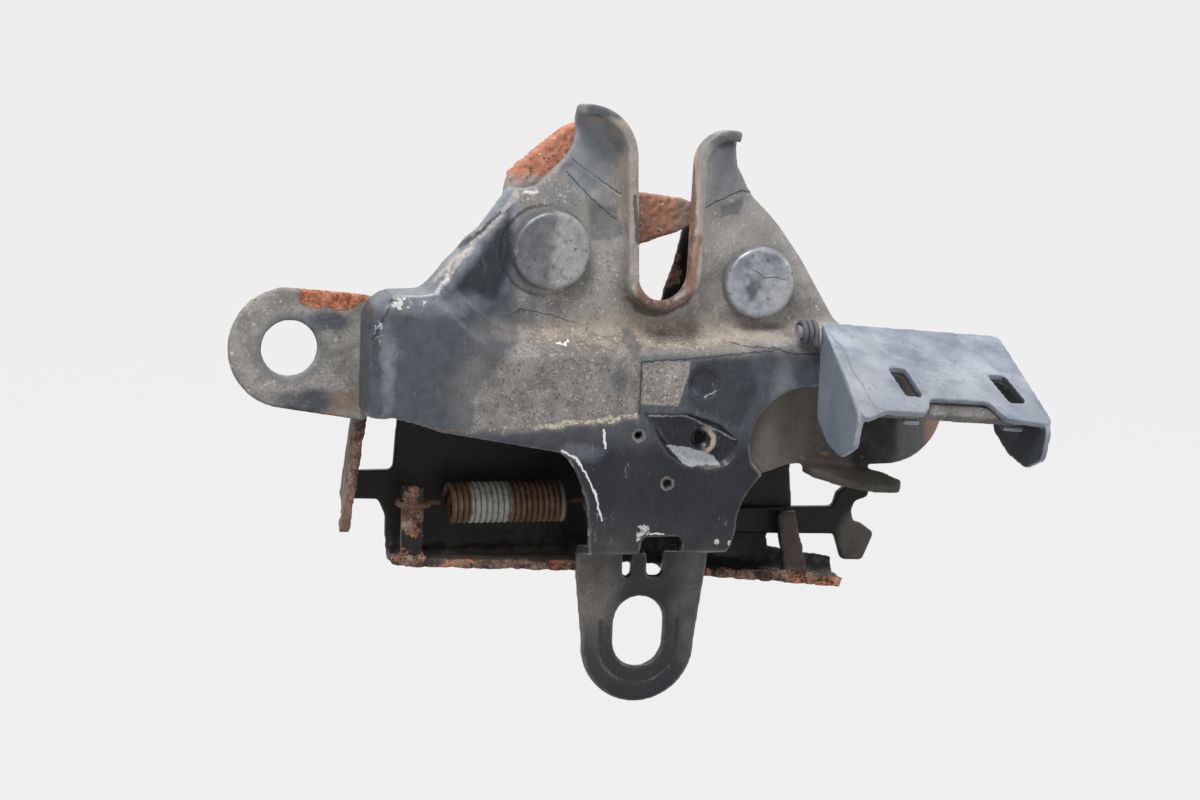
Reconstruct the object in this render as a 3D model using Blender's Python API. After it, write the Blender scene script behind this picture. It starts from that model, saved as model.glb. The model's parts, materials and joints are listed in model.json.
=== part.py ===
"""Bonnet latch: a pressed front plate with a striker slot, a claw and a pawl behind it, and a safety handle.

Seen from the front, +X is to the right, +Z is up and +Y goes back into the latch. Lengths are in metres.
The drawing frame has X = 0 on the slot's centre line, Y = 0 on the raised front faces and Z = 0 where the
raised faces are widest. The empty called latch then moves everything so that the world origin lies on the
back face of the lower bolt tab, below its hole, where the tab is clamped to the car's front panel.
"""

import math

import bmesh
import bpy
import numpy as np
from mathutils import Vector
from mathutils.geometry import delaunay_2d_cdt

MM = 0.001

# General sizes
GAP = 0.0003
FRONT_SHEET = 0.0023
REAR_SHEET = 0.0022
EAR_SHEET = 0.0023
CLAW_THICK = 0.004
LEVER_THICK = 0.0025
WASHER_THICK = 0.001

# Depths of the front plate's pressed levels, from its raised faces
RIVET_LEVEL = 0.008
TAB_LEVEL = 0.014
FLANGE_RADIUS = 0.0044
STEP_WIDTH = 0.007
STEP_RADIUS = 0.0031
DRAFT = 0.00012

# Striker slot and the two horns beside it
SLOT_WIDTH = 0.012
SLOT_FOOT_Z = 0.028
LEFT_HORN_RADIUS = 0.0118
LEFT_HORN_Z = 0.0536
LEFT_LEAN = 0.0014
RIGHT_HORN_RADIUS = 0.0078
RIGHT_HORN_Z = 0.0526
RIGHT_LEAN = 0.0003

# Pivots
CLAW_X = -0.025
CLAW_Z = 0.0326
PAWL_X = 0.0239
PAWL_Z = 0.0258
SHANK_RADIUS = 0.004
CLAW_HEAD_RADIUS = 0.0088
PAWL_HEAD_RADIUS = 0.0082
HEAD_THICK = 0.0036
PEEN_RADIUS = 0.0064
PEEN_THICK = 0.0018

# Claw
CLAW_HUB_RADIUS = 0.0115
CLAW_TO_PAWL = 0.0134
THROAT_WIDTH = 0.0104
STRIKER_DROP = 0.001
CLAW_TURN = math.radians(58)
THROAT_SLOPE = math.radians(-7)

# Pawl
PAWL_HUB_RADIUS = 0.008
PAWL_ARM_WIDTH = 0.009
PAWL_ARM_REACH = 0.0614
PAWL_ARM_ANGLE = math.radians(237.6)
NOSE_ANGLE = math.radians(-30)
NOSE_RADIUS = 0.0024
HOOK_HOLE_RADIUS = 0.0017
CABLE_HOLE_RADIUS = 0.002
CABLE_HOLE_INSET = 0.012

# Box on the left of the front plate and the shoulder line that the raised faces end on
BOX_LEFT = -0.0626
BOX_EDGE_RADIUS = 0.0032

# Column and lower bolt tab
JOGGLE_TOP = -0.0332
JOGGLE_HEIGHT = 0.0064
JOGGLE_RADIUS = 0.0029
TAB_X = 0.0019
TAB_ARC_Z = -0.0608
TAB_RADIUS = 0.0136
TAB_HOLE_WIDTH = 0.0121
TAB_HOLE_HEIGHT = 0.0169
TAB_HOLE_Z = -0.0576
TAB_SEAT_MARGIN = 0.0043
SEAT_DEPTH = 0.0005
NOTCH_LEFT = -0.0027
NOTCH_RIGHT = 0.007
NOTCH_TOP = -0.0317
NOTCH_FOOT = -0.0443
TONGUE_LEFT = -0.0006
TONGUE_RIGHT = 0.0031
TONGUE_TOP = -0.0382

# Ears
LEFT_EAR_X = -0.0813
LEFT_EAR_Z = 0.0093
RIGHT_EAR_X = 0.0612
RIGHT_EAR_Z = -0.0049
RIGHT_HOLE_X = 0.0566
RIGHT_HOLE_Z = -0.0015
RIGHT_HOLE_RADIUS = 0.0042
EAR_RADIUS = 0.0135
EAR_HOLE_RADIUS = 0.00625

# Rear plate
REAR_STEP_TOP = 0.006
REAR_STEP_HEIGHT = 0.009
REAR_DEEP = 0.0066
REAR_FOLD_RADIUS = 0.003
BLADE_FOOT_Z = -0.0332
ANCHOR_X = -0.0521
ANCHOR_WIDTH = 0.005
ANCHOR_TOP = -0.0225

# Tension spring of the pawl
SPRING_Z = -0.0266
SPRING_Y = 0.017
SPRING_RADIUS = 0.0048
SPRING_WIRE = 0.0013
SPRING_LEFT = -0.0439
SPRING_TURNS = 20

# Torsion springs
CLAW_SPRING_RADIUS = 0.0068
CLAW_SPRING_WIRE = 0.0013
CLAW_SPRING_TURNS = 1.5
HANDLE_SPRING_RADIUS = 0.0022
HANDLE_SPRING_WIRE = 0.0012
HANDLE_SPRING_TURNS = 2.5

# Safety handle: its pad slopes down towards the front and a little to the right
PAD_X = 0.0365
PAD_Y = -0.002
PAD_Z = 0.018
PAD_TILT = math.radians(5.2)
PAD_SLOPE = math.radians(32.4)
COVER_WIDTH = 0.0465
COVER_LENGTH = 0.0285
COVER_WALL = 0.0018
PAD_THICK = 0.0022
LEVER_FOOT_Z = 0.0091

# Layers behind the front plate
CLAW_FRONT = RIVET_LEVEL + FRONT_SHEET + GAP
CLAW_BACK = CLAW_FRONT + CLAW_THICK
LEVER_FRONT = CLAW_BACK + GAP
LEVER_BACK = LEVER_FRONT + LEVER_THICK
WASHER_FRONT = LEVER_BACK + GAP
WASHER_BACK = WASHER_FRONT + WASHER_THICK
REAR_FRONT = WASHER_BACK + GAP
REAR_BACK = REAR_FRONT + REAR_SHEET
REAR_LOW = REAR_FRONT + REAR_DEEP
MOUNT_PLANE = TAB_LEVEL + FRONT_SHEET
FLANGE_FRONT = MOUNT_PLANE + GAP
CLAW_REACH = PAWL_X - CLAW_X - CLAW_TO_PAWL
TAB_LAND_Z = (TAB_ARC_Z - TAB_RADIUS + TAB_HOLE_Z - TAB_HOLE_HEIGHT / 2) / 2

SMOOTH = 10


def mm(*pairs):
    """Points given in millimetres, as metres."""
    return [(x * MM, z * MM) for x, z in pairs]


def arc(x, z, radius, start, end, steps=SMOOTH):
    """Points on a circle from one angle to another, in degrees."""
    angles = np.radians(np.linspace(start, end, steps + 1))
    return [(x + radius * math.cos(a), z + radius * math.sin(a)) for a in angles]


def oblong(x, z, width, height, steps=SMOOTH):
    """An upright hole with round ends."""
    radius = width / 2
    reach = height / 2 - radius
    return arc(x, z + reach, radius, 0, 180, steps) + arc(x, z - reach, radius, 180, 360, steps)


def rounded(points, radius, steps=4):
    """The polygon with each corner replaced by an arc that touches both of its sides."""
    result = []
    count = len(points)
    for i in range(count):
        corner = np.array(points[i])
        before = np.array(points[i - 1]) - corner
        after = np.array(points[(i + 1) % count]) - corner
        before_length = np.linalg.norm(before)
        after_length = np.linalg.norm(after)
        before = before / before_length
        after = after / after_length
        half = math.acos(max(-1.0, min(1.0, float(before @ after)))) / 2
        reach = min(radius / math.tan(half), 0.45 * before_length, 0.45 * after_length)
        fitted = reach * math.tan(half)
        if half > 1.45:
            result.append(tuple(corner))
            continue
        middle = (before + after) / np.linalg.norm(before + after)
        centre = corner + middle * fitted / math.sin(half)
        first = corner + before * reach - centre
        last = corner + after * reach - centre
        start = math.atan2(first[1], first[0])
        turn = math.atan2(last[1], last[0]) - start
        turn = (turn + math.pi) % (2 * math.pi) - math.pi
        for k in range(steps + 1):
            angle = start + turn * k / steps
            result.append((centre[0] + fitted * math.cos(angle), centre[1] + fitted * math.sin(angle)))
    return result


def offset_path(path, distance):
    """The open path moved to its right-hand side."""
    points = np.array(path)
    steps = np.diff(points, axis=0)
    steps = steps / np.linalg.norm(steps, axis=1)[:, None]
    ahead = np.vstack([steps, steps[-1:]])
    behind = np.vstack([steps[:1], steps])
    tangent = ahead + behind
    tangent = tangent / np.linalg.norm(tangent, axis=1)[:, None]
    normal = np.column_stack([tangent[:, 1], -tangent[:, 0]])
    bend = np.clip((tangent * ahead).sum(axis=1), 0.5, 1)
    return [tuple(p) for p in points + normal * (distance / bend)[:, None]]


def distance_to(path, x, z):
    """Distance from a point to an open path, positive on its right-hand side, and how far along it lies."""
    points = np.array(path)
    start = points[:-1]
    step = points[1:] - start
    length = np.linalg.norm(step, axis=1)
    along = (((x, z) - start) * step).sum(axis=1) / length**2
    along = np.clip(along, 0, 1)
    offset = np.array((x, z)) - start - step * along[:, None]
    gaps = np.linalg.norm(offset, axis=1)
    nearest = int(gaps.argmin())
    side = step[nearest, 1] * offset[nearest, 0] - step[nearest, 0] * offset[nearest, 1]
    travelled = length[:nearest].sum() + along[nearest] * length[nearest]
    return math.copysign(gaps[nearest], side), travelled / length.sum()


def ease(value):
    """Smooth step from 0 to 1."""
    value = max(0.0, min(1.0, value))
    return value * value * (3 - 2 * value)


FOLD_END = math.radians(84)


def fold_section(radius, depth, steps=4):
    """A fold in section, as distance out and depth: a quarter turn and then a steep wall down to depth."""
    turns = [FOLD_END * k / steps for k in range(steps + 1)]
    section = [(radius * math.sin(a), min(depth, radius * (1 - math.cos(a)))) for a in turns]
    return section + [(radius + DRAFT, depth)]


def step_section(run, depth, first, second, steps=3):
    """A step in section: a bend of the first radius, a slope and a bend back of the second radius."""
    low = 0.0
    high = math.radians(89)
    for _ in range(40):
        angle = (low + high) / 2
        slope = (run - (first + second) * math.sin(angle)) / math.cos(angle)
        if slope * math.sin(angle) + (first + second) * (1 - math.cos(angle)) < depth:
            low = angle
        else:
            high = angle
    turns = [angle * k / steps for k in range(steps + 1)]
    start = [(first * math.sin(a), first * (1 - math.cos(a))) for a in turns]
    end = [(run - second * math.sin(a), depth - second * (1 - math.cos(a))) for a in turns]
    return start + end[::-1]


def read_section(section, out):
    """Depth of a section at a distance out from its start."""
    return float(np.interp(out, [p[0] for p in section], [p[1] for p in section]))


def fold_depth(radius, depth, out):
    if out <= 0 or depth <= 0:
        return 0.0
    return read_section(fold_section(radius, depth), out)


def material(name, colour, roughness, metallic):
    finish = bpy.data.materials.new(name)
    finish.use_nodes = True
    shader = finish.node_tree.nodes["Principled BSDF"]
    shader.inputs["Base Color"].default_value = (*colour, 1)
    shader.inputs["Roughness"].default_value = roughness
    shader.inputs["Metallic"].default_value = metallic
    finish.diffuse_color = (*colour, 1)
    return finish


def empty(name, location, parent=None):
    marker = bpy.data.objects.new(name, None)
    marker.location = location
    marker.parent = parent
    bpy.context.collection.objects.link(marker)
    return marker


def add_mesh(name, mesh, parent, finish=None):
    piece = bpy.data.objects.new(name, mesh)
    piece.parent = parent
    if finish:
        mesh.materials.append(finish)
    bpy.context.collection.objects.link(piece)
    return piece


def make_helper(piece):
    """Marks a cutter or a shape that is joined to another, so that it is no piece of its own."""
    piece.hide_render = True
    piece.display_type = "WIRE"
    return piece


def boolean(target, other, operation):
    modifier = target.modifiers.new(operation.title() + " " + other.name, "BOOLEAN")
    modifier.operation = operation
    modifier.solver = "EXACT"
    modifier.object = make_helper(other)


def cut(target, *cutters):
    for cutter in cutters:
        boolean(target, cutter, "DIFFERENCE")


def join(target, *shapes):
    for shape in shapes:
        boolean(target, shape, "UNION")


def soften(piece, width, segments=1, angle=40):
    """A small bevel on the piece's sharp edges."""
    weld = piece.modifiers.new("Weld", "WELD")
    weld.merge_threshold = 0.00002
    bevel = piece.modifiers.new("Edge bevel", "BEVEL")
    bevel.width = width
    bevel.segments = segments
    bevel.limit_method = "ANGLE"
    bevel.angle_limit = math.radians(angle)
    bevel.use_clamp_overlap = True


def shade(piece, angle=35):
    piece.data.shade_smooth()
    piece.data.set_sharp_from_angle(angle=math.radians(angle))


def prism(name, outline, low, high, parent, finish=None, axis="Y"):
    """A flat outline extruded from low to high. It is drawn in X and Z, or in the two that axis leaves."""
    place = {
        "Y": lambda a, b, depth: (a, depth, b),
        "X": lambda a, b, depth: (depth, a, b),
        "Z": lambda a, b, depth: (a, b, depth),
    }[axis]
    work = bmesh.new()
    ring = [work.verts.new(place(a, b, low)) for a, b in outline]
    face = work.faces.new(ring)
    grown = bmesh.ops.extrude_face_region(work, geom=[face])
    moved = [item for item in grown["geom"] if isinstance(item, bmesh.types.BMVert)]
    bmesh.ops.translate(work, verts=moved, vec=Vector(place(0, 0, high - low)))
    bmesh.ops.recalc_face_normals(work, faces=work.faces)
    mesh = bpy.data.meshes.new(name)
    work.to_mesh(mesh)
    work.free()
    return add_mesh(name, mesh, parent, finish)


def turned(name, profile, parent, finish=None, segments=32):
    """A shape turned round the Y axis. The profile lists radius and Y, from the axis to the axis."""
    work = bmesh.new()
    line = [work.verts.new((radius, y, 0)) for radius, y in profile]
    edges = [work.edges.new(pair) for pair in zip(line, line[1:])]
    bmesh.ops.spin(
        work,
        geom=line + edges,
        cent=(0, 0, 0),
        axis=(0, 1, 0),
        angle=2 * math.pi,
        steps=segments,
        use_merge=True,
    )
    bmesh.ops.remove_doubles(work, verts=work.verts, dist=1e-7)
    bmesh.ops.recalc_face_normals(work, faces=work.faces)
    mesh = bpy.data.meshes.new(name)
    work.to_mesh(mesh)
    work.free()
    piece = add_mesh(name, mesh, parent, finish)
    shade(piece)
    return piece


def round_cutter(name, x, z, radius, low, high, parent, segments=24):
    circle = arc(x, z, radius, 0, 360 - 360 / segments, segments - 1)
    return prism(name, circle, low, high, parent)


def wire(name, points, thickness, parent, finish, resolution=2):
    """A round wire along a list of points."""
    curve = bpy.data.curves.new(name, "CURVE")
    curve.dimensions = "3D"
    curve.bevel_depth = thickness / 2
    curve.bevel_resolution = resolution
    curve.use_fill_caps = True
    spline = curve.splines.new("POLY")
    spline.points.add(len(points) - 1)
    for slot, point in zip(spline.points, points):
        slot.co = (*point, 1)
    return add_mesh(name, curve, parent, finish)


def pressed_sheet(name, outline, lines, depth, thickness, parent, finish):
    """A sheet cut to an outline and pressed to depth(x, z), with edges along the lines where it folds."""
    points = [Vector(p) for p in outline]
    edges = []
    for line in lines:
        first = len(points)
        points += [Vector(p) for p in line]
        edges += [(k, k + 1) for k in range(first, len(points) - 1)]
    flat, _, faces, *_ = delaunay_2d_cdt(points, edges, [list(range(len(outline)))], 1, 1e-7)
    work = bmesh.new()
    verts = [work.verts.new((p.x, depth(p.x, p.y), p.y)) for p in flat]
    for face in faces:
        work.faces.new([verts[k] for k in face])
    bmesh.ops.delete(work, geom=[v for v in work.verts if not v.link_faces], context="VERTS")
    bmesh.ops.recalc_face_normals(work, faces=work.faces)
    work.faces.ensure_lookup_table()
    if sum(face.normal.y * face.calc_area() for face in work.faces) > 0:
        bmesh.ops.reverse_faces(work, faces=work.faces)
    mesh = bpy.data.meshes.new(name)
    work.to_mesh(mesh)
    work.free()
    sheet = add_mesh(name, mesh, parent, finish)
    solid = sheet.modifiers.new("Sheet thickness", "SOLIDIFY")
    solid.thickness = thickness
    solid.offset = -1
    solid.use_even_offset = False
    solid.use_quality_normals = True
    shade(sheet)
    return sheet


# Front plate


def slot_wall():
    """The slot's wall from the left horn's tip, down, round the foot and up to the right horn's tip."""
    half = SLOT_WIDTH / 2
    left_x = -half - LEFT_LEAN - LEFT_HORN_RADIUS
    right_x = half + RIGHT_LEAN + RIGHT_HORN_RADIUS
    return (
        arc(left_x, LEFT_HORN_Z, LEFT_HORN_RADIUS, 97, 0, 12)
        + arc(0, SLOT_FOOT_Z, half, 180, 360, 14)
        + arc(right_x, RIGHT_HORN_Z, RIGHT_HORN_RADIUS, 180, 72, 12)
    )


def lengthened(path, extra):
    """The path with both of its ends carried straight on."""
    first = np.array(path[0])
    second = np.array(path[1])
    last = np.array(path[-1])
    before = np.array(path[-2])
    head = first + (first - second) / np.linalg.norm(first - second) * extra
    tail = last + (last - before) / np.linalg.norm(last - before) * extra
    return [tuple(head)] + list(path) + [tuple(tail)]


def shoulder():
    """The line that the raised faces end on, from the box's upper right corner along to the right."""
    left = mm((-57, 27), (-51.5, 20.0), (-46, 15.0), (-41, 11.2), (-36, 8.9), (-28, 8.3))
    return left + mm((-10, 8.5), (10, 9), (30, 10), (46, 10.5))


def rim():
    """The left edge, from the box's foot over its top and up the diagonal to the horn."""
    box = mm((-65.92, -4.1), (-65.95, 16.2)) + arc(-0.0592, 0.0164, 0.0066, 170, 98, 5) + mm((-54.5, 23.0))
    shares = (0, 0.08, 0.2, 0.35, 0.5, 1)
    diagonal = [(-0.0481 + share * 0.0137, 0.0269 + share * 0.0194) for share in shares]
    return box + mm((-52.2, 23.3), (-50.4, 24.3), (-49.2, 25.5)) + diagonal


RIGHT_DIAGONAL = mm((23.0, 44.6), (29.6, 38.6), (35.4, 31.1), (44.3, 17.1))
LEFT_HORN_SIDE = mm((-31, 46.0), (-28.3, 46.6), (-25, 49.8), (-21.8, 53.2), (-20.2, 56), (-19.7, 59))
RIGHT_HORN_SIDE = mm((17.0, 56.6), (17.9, 54), (18.3, 51.8), (19.9, 49.1))


def tab_outline():
    """The bolt tab's edge below the joggle, from its right side round to its left."""
    right = mm((18.6, -34), (18.1, -38))
    left = mm((-13.7, -43.5), (-13.9, -39.2), (-14.2, -36.7), (-15.2, -33.2))
    return right + arc(TAB_X, TAB_ARC_Z, TAB_RADIUS, 4, -184, 22) + left


def front_outline():
    inner = offset_path(slot_wall(), FRONT_SHEET)
    strip = mm((45.2, 15.2), (45.2, 12.6), (38.6, 12.2), (38.2, 3.4), (37.2, 2.4))
    strip += arc(0.0365, -0.012, 0.0148, 96, 172, 7)
    column_right = arc(0.0362, -0.0305, 0.0167, 130, 182, 6)
    column_left = mm((-15.1, -30.6), (-15.6, -26.5), (-16.2, -23), (-17.4, -19.4), (-18.9, -16))
    column_left += mm((-20.6, -13.6), (-22.6, -12))
    box_foot = mm((-36.5, -9.5), (-50.1, -7.1), (-61.2, -4.1))
    return (
        inner
        + RIGHT_HORN_SIDE
        + RIGHT_DIAGONAL
        + strip
        + mm((22.6, -14.4))
        + column_right
        + tab_outline()
        + column_left
        + box_foot
        + rim()
        + LEFT_HORN_SIDE
    )


RIM_RADIUS = BOX_EDGE_RADIUS
SHOULDER = step_section(STEP_WIDTH, RIVET_LEVEL, STEP_RADIUS, 0.0018)
JOGGLE = step_section(JOGGLE_HEIGHT, TAB_LEVEL, JOGGLE_RADIUS, 0.0012)
RETURN_RADIUS = 0.003
RIGHT_RETURN_DEPTH = 0.005
TEARDROP = mm((-3.2, -2.9), (7.2, -3.1), (14.6, -5.6), (19.4, -9.6), (19.2, -12.6), (16.8, -15.4))
TEARDROP += mm((12.6, -16.5), (6.8, -15.5), (2.6, -12.6), (-0.6, -8.1))
TEARDROP_DEPTH = 0.0016
TEARDROP_SIDE = 0.0012
DIMPLE_X = 0.0103
DIMPLE_Z = 0.0037
DIMPLE_RADIUS = 0.0035
DIMPLE_DEPTH = 0.0006
CHANNEL = mm((-21.0, 49.6), (-16.8, 46.2))
CHANNEL_WIDTH = 0.0046
CHANNEL_DEPTH = 0.0005


def rim_depth(x, z):
    """How deep the left wall reaches: to the ear at the box, nearly to the rear plate along the diagonal."""
    along = ease((x + 0.0555) / 0.006)
    deep = REAR_FRONT - 3 * GAP
    reach = (TAB_LEVEL - GAP) * (1 - along) + deep * along
    return RIVET_LEVEL + (reach - RIVET_LEVEL) * ease((0.0368 - z) / 0.009)


def inside(loop, x, z):
    """Whether a point lies inside a closed outline."""
    found = False
    for (x1, z1), (x2, z2) in zip(loop, loop[1:] + loop[:1]):
        if (z1 > z) != (z2 > z) and x < x1 + (z - z1) * (x2 - x1) / (z2 - z1):
            found = not found
    return found


def pocket(loop, x, z, side, depth):
    """Depth of a pressed pocket with sloping sides."""
    if not inside(loop, x, z):
        return 0.0
    gap, _ = distance_to(loop + loop[:1], x, z)
    return depth * min(1.0, abs(gap) / side)


def make_front_depth():
    """The front plate's depth at any point of its flat outline."""
    wall = lengthened(slot_wall(), 0.004)
    edge = shoulder()
    left = rim()
    slot_reach = FRONT_SHEET + FLANGE_RADIUS + DRAFT

    def depth(x, z):
        if z < JOGGLE_TOP:
            return read_section(JOGGLE, JOGGLE_TOP - z)
        level = read_section(SHOULDER, -distance_to(edge, x, z)[0])
        if z > 0.0155 and x > -0.04:
            out = slot_reach - distance_to(wall, x, z)[0]
            level -= fold_depth(FLANGE_RADIUS, RIVET_LEVEL, out) * level / RIVET_LEVEL
        if x < -0.03:
            out = RIM_RADIUS + DRAFT - distance_to(left, x, z)[0]
            level += fold_depth(RIM_RADIUS, rim_depth(x, z) - level, out)
        if x > 0.02 and z > 0.016:
            gap, along = distance_to(RIGHT_DIAGONAL, x, z)
            out = RETURN_RADIUS + DRAFT - gap
            level += fold_depth(RETURN_RADIUS, RIGHT_RETURN_DEPTH * ease(4 * along), out)
        level += pocket(TEARDROP, x, z, TEARDROP_SIDE, TEARDROP_DEPTH)
        if math.hypot(x - DIMPLE_X, z - DIMPLE_Z) < DIMPLE_RADIUS - 0.0001:
            level += DIMPLE_DEPTH
        return level

    return depth


def front_lines():
    """Lines that the front plate's mesh follows, so that its folds are crisp and round."""
    wall = lengthened(slot_wall(), 0.004)
    lines = []
    for out, _ in fold_section(FLANGE_RADIUS, 0)[:-1]:
        lines.append(offset_path(wall, FRONT_SHEET + FLANGE_RADIUS + DRAFT - out))
    for out, _ in fold_section(RIM_RADIUS, 0)[:-1]:
        lines.append(offset_path(rim(), RIM_RADIUS + DRAFT - out))
    for out, _ in fold_section(RETURN_RADIUS, 0)[:-1]:
        lines.append(offset_path(lengthened(RIGHT_DIAGONAL, 0.001), RETURN_RADIUS + DRAFT - out))
    for out, _ in SHOULDER:
        lines.append(offset_path(shoulder(), -out))
    for out, _ in JOGGLE:
        z = JOGGLE_TOP - out
        lines.append([(-0.02, z), (0.025, z)])
    closed = TEARDROP + TEARDROP[:1]
    inner = offset_path(closed, TEARDROP_SIDE)[:-1]
    lines.append(closed)
    lines.append(inner + inner[:1])
    for radius in (DIMPLE_RADIUS, DIMPLE_RADIUS - 0.0003):
        lines.append(arc(DIMPLE_X, DIMPLE_Z, radius, 0, 360, 16))
    return lines


def channel_edge(half):
    """The closed outline of the pressed channel on the left horn."""
    (x1, z1), (x2, z2) = CHANNEL
    heading = math.degrees(math.atan2(z2 - z1, x2 - x1))
    start = arc(x1, z1, half, heading + 90, heading + 270, 8)
    return start + arc(x2, z2, half, heading - 90, heading + 90, 8)


def front_plate(latch, paint):
    depth = make_front_depth()
    plate = pressed_sheet("front_plate", front_outline(), front_lines(), depth, FRONT_SHEET, latch, paint)
    back = REAR_BACK
    seat_width = TAB_HOLE_WIDTH + 2 * TAB_SEAT_MARGIN
    seat_height = TAB_HOLE_HEIGHT + 2 * TAB_SEAT_MARGIN
    cut(
        plate,
        round_cutter("claw rivet hole", CLAW_X, CLAW_Z, SHANK_RADIUS + GAP, 0, back, latch),
        round_cutter("pawl rivet hole", PAWL_X, PAWL_Z, SHANK_RADIUS + GAP, 0, back, latch),
        prism("bolt hole", oblong(TAB_X, TAB_HOLE_Z, TAB_HOLE_WIDTH, TAB_HOLE_HEIGHT), 0, back, latch),
        prism(
            "bolt seat",
            oblong(TAB_X, TAB_HOLE_Z, seat_width, seat_height),
            TAB_LEVEL - 0.003,
            TAB_LEVEL + SEAT_DEPTH,
            latch,
        ),
        joggle_notch(latch),
        prism("horn channel", channel_edge(CHANNEL_WIDTH / 2), 0.005, RIVET_LEVEL + CHANNEL_DEPTH, latch),
        round_cutter("teardrop hole", 0.0105, -0.0093, 0.0013, -0.002, 0.006, latch, 16),
        round_cutter("teardrop seat", 0.0105, -0.0093, 0.0023, -0.002, TEARDROP_DEPTH + 0.0009, latch, 20),
        round_cutter("upper pin hole", -0.0046, -0.0082, 0.0009, -0.002, 0.006, latch, 12),
        round_cutter("lower pin hole", 0.0026, -0.0193, 0.0009, -0.002, 0.006, latch, 12),
    )
    return plate


def joggle_notch(latch):
    """The window in the joggle, with a tongue standing up in its foot."""
    corner = 0.0012
    outline = [
        (NOTCH_LEFT, NOTCH_TOP),
        (NOTCH_LEFT, NOTCH_FOOT),
        (TONGUE_LEFT, NOTCH_FOOT),
        (TONGUE_LEFT, TONGUE_TOP),
        (TONGUE_RIGHT, TONGUE_TOP),
        (TONGUE_RIGHT, NOTCH_FOOT),
        (NOTCH_RIGHT, NOTCH_FOOT),
        (NOTCH_RIGHT, NOTCH_TOP),
    ]
    return prism("joggle notch", rounded(outline, corner, 3), -0.004, REAR_BACK, latch)


# Rear plate


def flange_line():
    """The rear plate's bottom edge, which follows the latch's slope and droops at its right end."""
    return mm((-56.5, -41.2), (-13, -43.4), (20, -45.6), (52.6, -48.9))


REAR_STEP = step_section(REAR_STEP_HEIGHT, REAR_DEEP, REAR_FOLD_RADIUS, REAR_FOLD_RADIUS)


def rear_depth(x, z):
    level = REAR_FRONT + read_section(REAR_STEP, REAR_STEP_TOP - z)
    out, _ = distance_to(lengthened(flange_line(), 0.01), x, z)
    out += REAR_SHEET + REAR_FOLD_RADIUS + DRAFT
    return level - fold_depth(REAR_FOLD_RADIUS, REAR_LOW - FLANGE_FRONT, out)


def rear_outline():
    foot = offset_path(flange_line(), -REAR_SHEET)
    left = mm((-56.5, -31.6), (-58.3, -27.6), (-66.4, -27.3), (-65.4, -20.7), (-55.2, -20.6))
    left += mm((-54.5, -10), (-54.5, 8))
    diagonal = mm((-49.0, 22.8), (-34.4, 40.6), (-31.8, 43.0), (-24, 44.5), (-14, 45.5), (-10.6, 44.6))
    slot = mm((-9.6, 24)) + arc(-0.0018, 0.0225, 0.0078, 180, 360, 8)
    slot += mm((8.0, 28.2), (9.8, 36.5), (10.6, 42.2))
    right = mm((14, 43.6), (20, 42), (28, 37), (34.5, 29.5), (40.5, 19), (41.5, 8))
    right += mm((41.4, -22), (42.4, -30.4))
    lower = mm((42.4, -35.4), (36.4, -36.4), (36.8, -40.9))
    brim = offset_path(flange_line(), -REAR_SHEET - REAR_FOLD_RADIUS - DRAFT)[-1:]
    return foot[::-1] + left + diagonal + slot + right + lower + brim


def rear_lines():
    line = lengthened(flange_line(), 0.004)
    lines = []
    for out, _ in fold_section(REAR_FOLD_RADIUS, 0)[:-1]:
        lines.append(offset_path(line, out - REAR_SHEET - REAR_FOLD_RADIUS - DRAFT))
    for out, _ in REAR_STEP:
        z = REAR_STEP_TOP - out
        lines.append([(-0.06, z), (0.045, z)])
    return lines


def blade(latch):
    """The rear plate's left side wall, which stands forward to the left ear and leans out at its foot."""
    back = REAR_LOW + REAR_SHEET - 2 * GAP
    outline = [
        (FLANGE_FRONT, 0.008),
        (back - 0.004, 0.008),
        (back, 0.004),
        (back, -0.0262),
        (back - 0.005, -0.0282),
        (FLANGE_FRONT + 0.004, BLADE_FOOT_Z),
        (FLANGE_FRONT + 0.001, BLADE_FOOT_Z),
        (FLANGE_FRONT, BLADE_FOOT_Z + 0.001),
    ]
    wall = prism("blade", outline, -0.0636, -0.0636 + REAR_SHEET, latch, axis="X")
    for vertex in wall.data.vertices:
        vertex.co.x += 0.2 * min(0.0, vertex.co.z + 0.008)
    return wall


def flange_top(x):
    """Height of the flange's upper face."""
    line = flange_line()
    return float(np.interp(x, [p[0] for p in line], [p[1] for p in line])) + REAR_SHEET


def rear_plate(latch, steel):
    outline = rear_outline()[::-1]
    plate = pressed_sheet("rear_plate", outline, rear_lines(), rear_depth, REAR_SHEET, latch, steel)
    half = ANCHOR_WIDTH / 2
    anchor = [
        (ANCHOR_X - half, flange_top(ANCHOR_X) - 0.0012),
        (ANCHOR_X - half, ANCHOR_TOP),
        (ANCHOR_X + half, ANCHOR_TOP),
        (ANCHOR_X + half, flange_top(ANCHOR_X) - 0.0012),
    ]
    brace = mm((39.0, -46.2), (36.2, -30.8), (40.8, -30.6), (45.0, -46.4))
    join(
        plate,
        blade(latch),
        prism("spring anchor", anchor, anchor_front(), anchor_front() + REAR_SHEET, latch),
        prism("brace tab", brace, 0.0186, 0.0186 + REAR_SHEET, latch),
    )
    cut(
        plate,
        round_cutter("rear claw hole", CLAW_X, CLAW_Z, SHANK_RADIUS + GAP, REAR_FRONT - 0.001, 0.03, latch),
        round_cutter("rear pawl hole", PAWL_X, PAWL_Z, SHANK_RADIUS + GAP, REAR_FRONT - 0.001, 0.03, latch),
        flange_relief(latch),
    )
    return plate


def flange_relief(latch):
    """The bay in the flange's front edge, behind the window in the joggle."""
    bay = mm((-5, 15), (9, 15), (9, 24.5), (-5, 24.5))
    return prism("flange relief", rounded(bay, 0.0015, 3), -0.050, -0.0405, latch, axis="Z")


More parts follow.
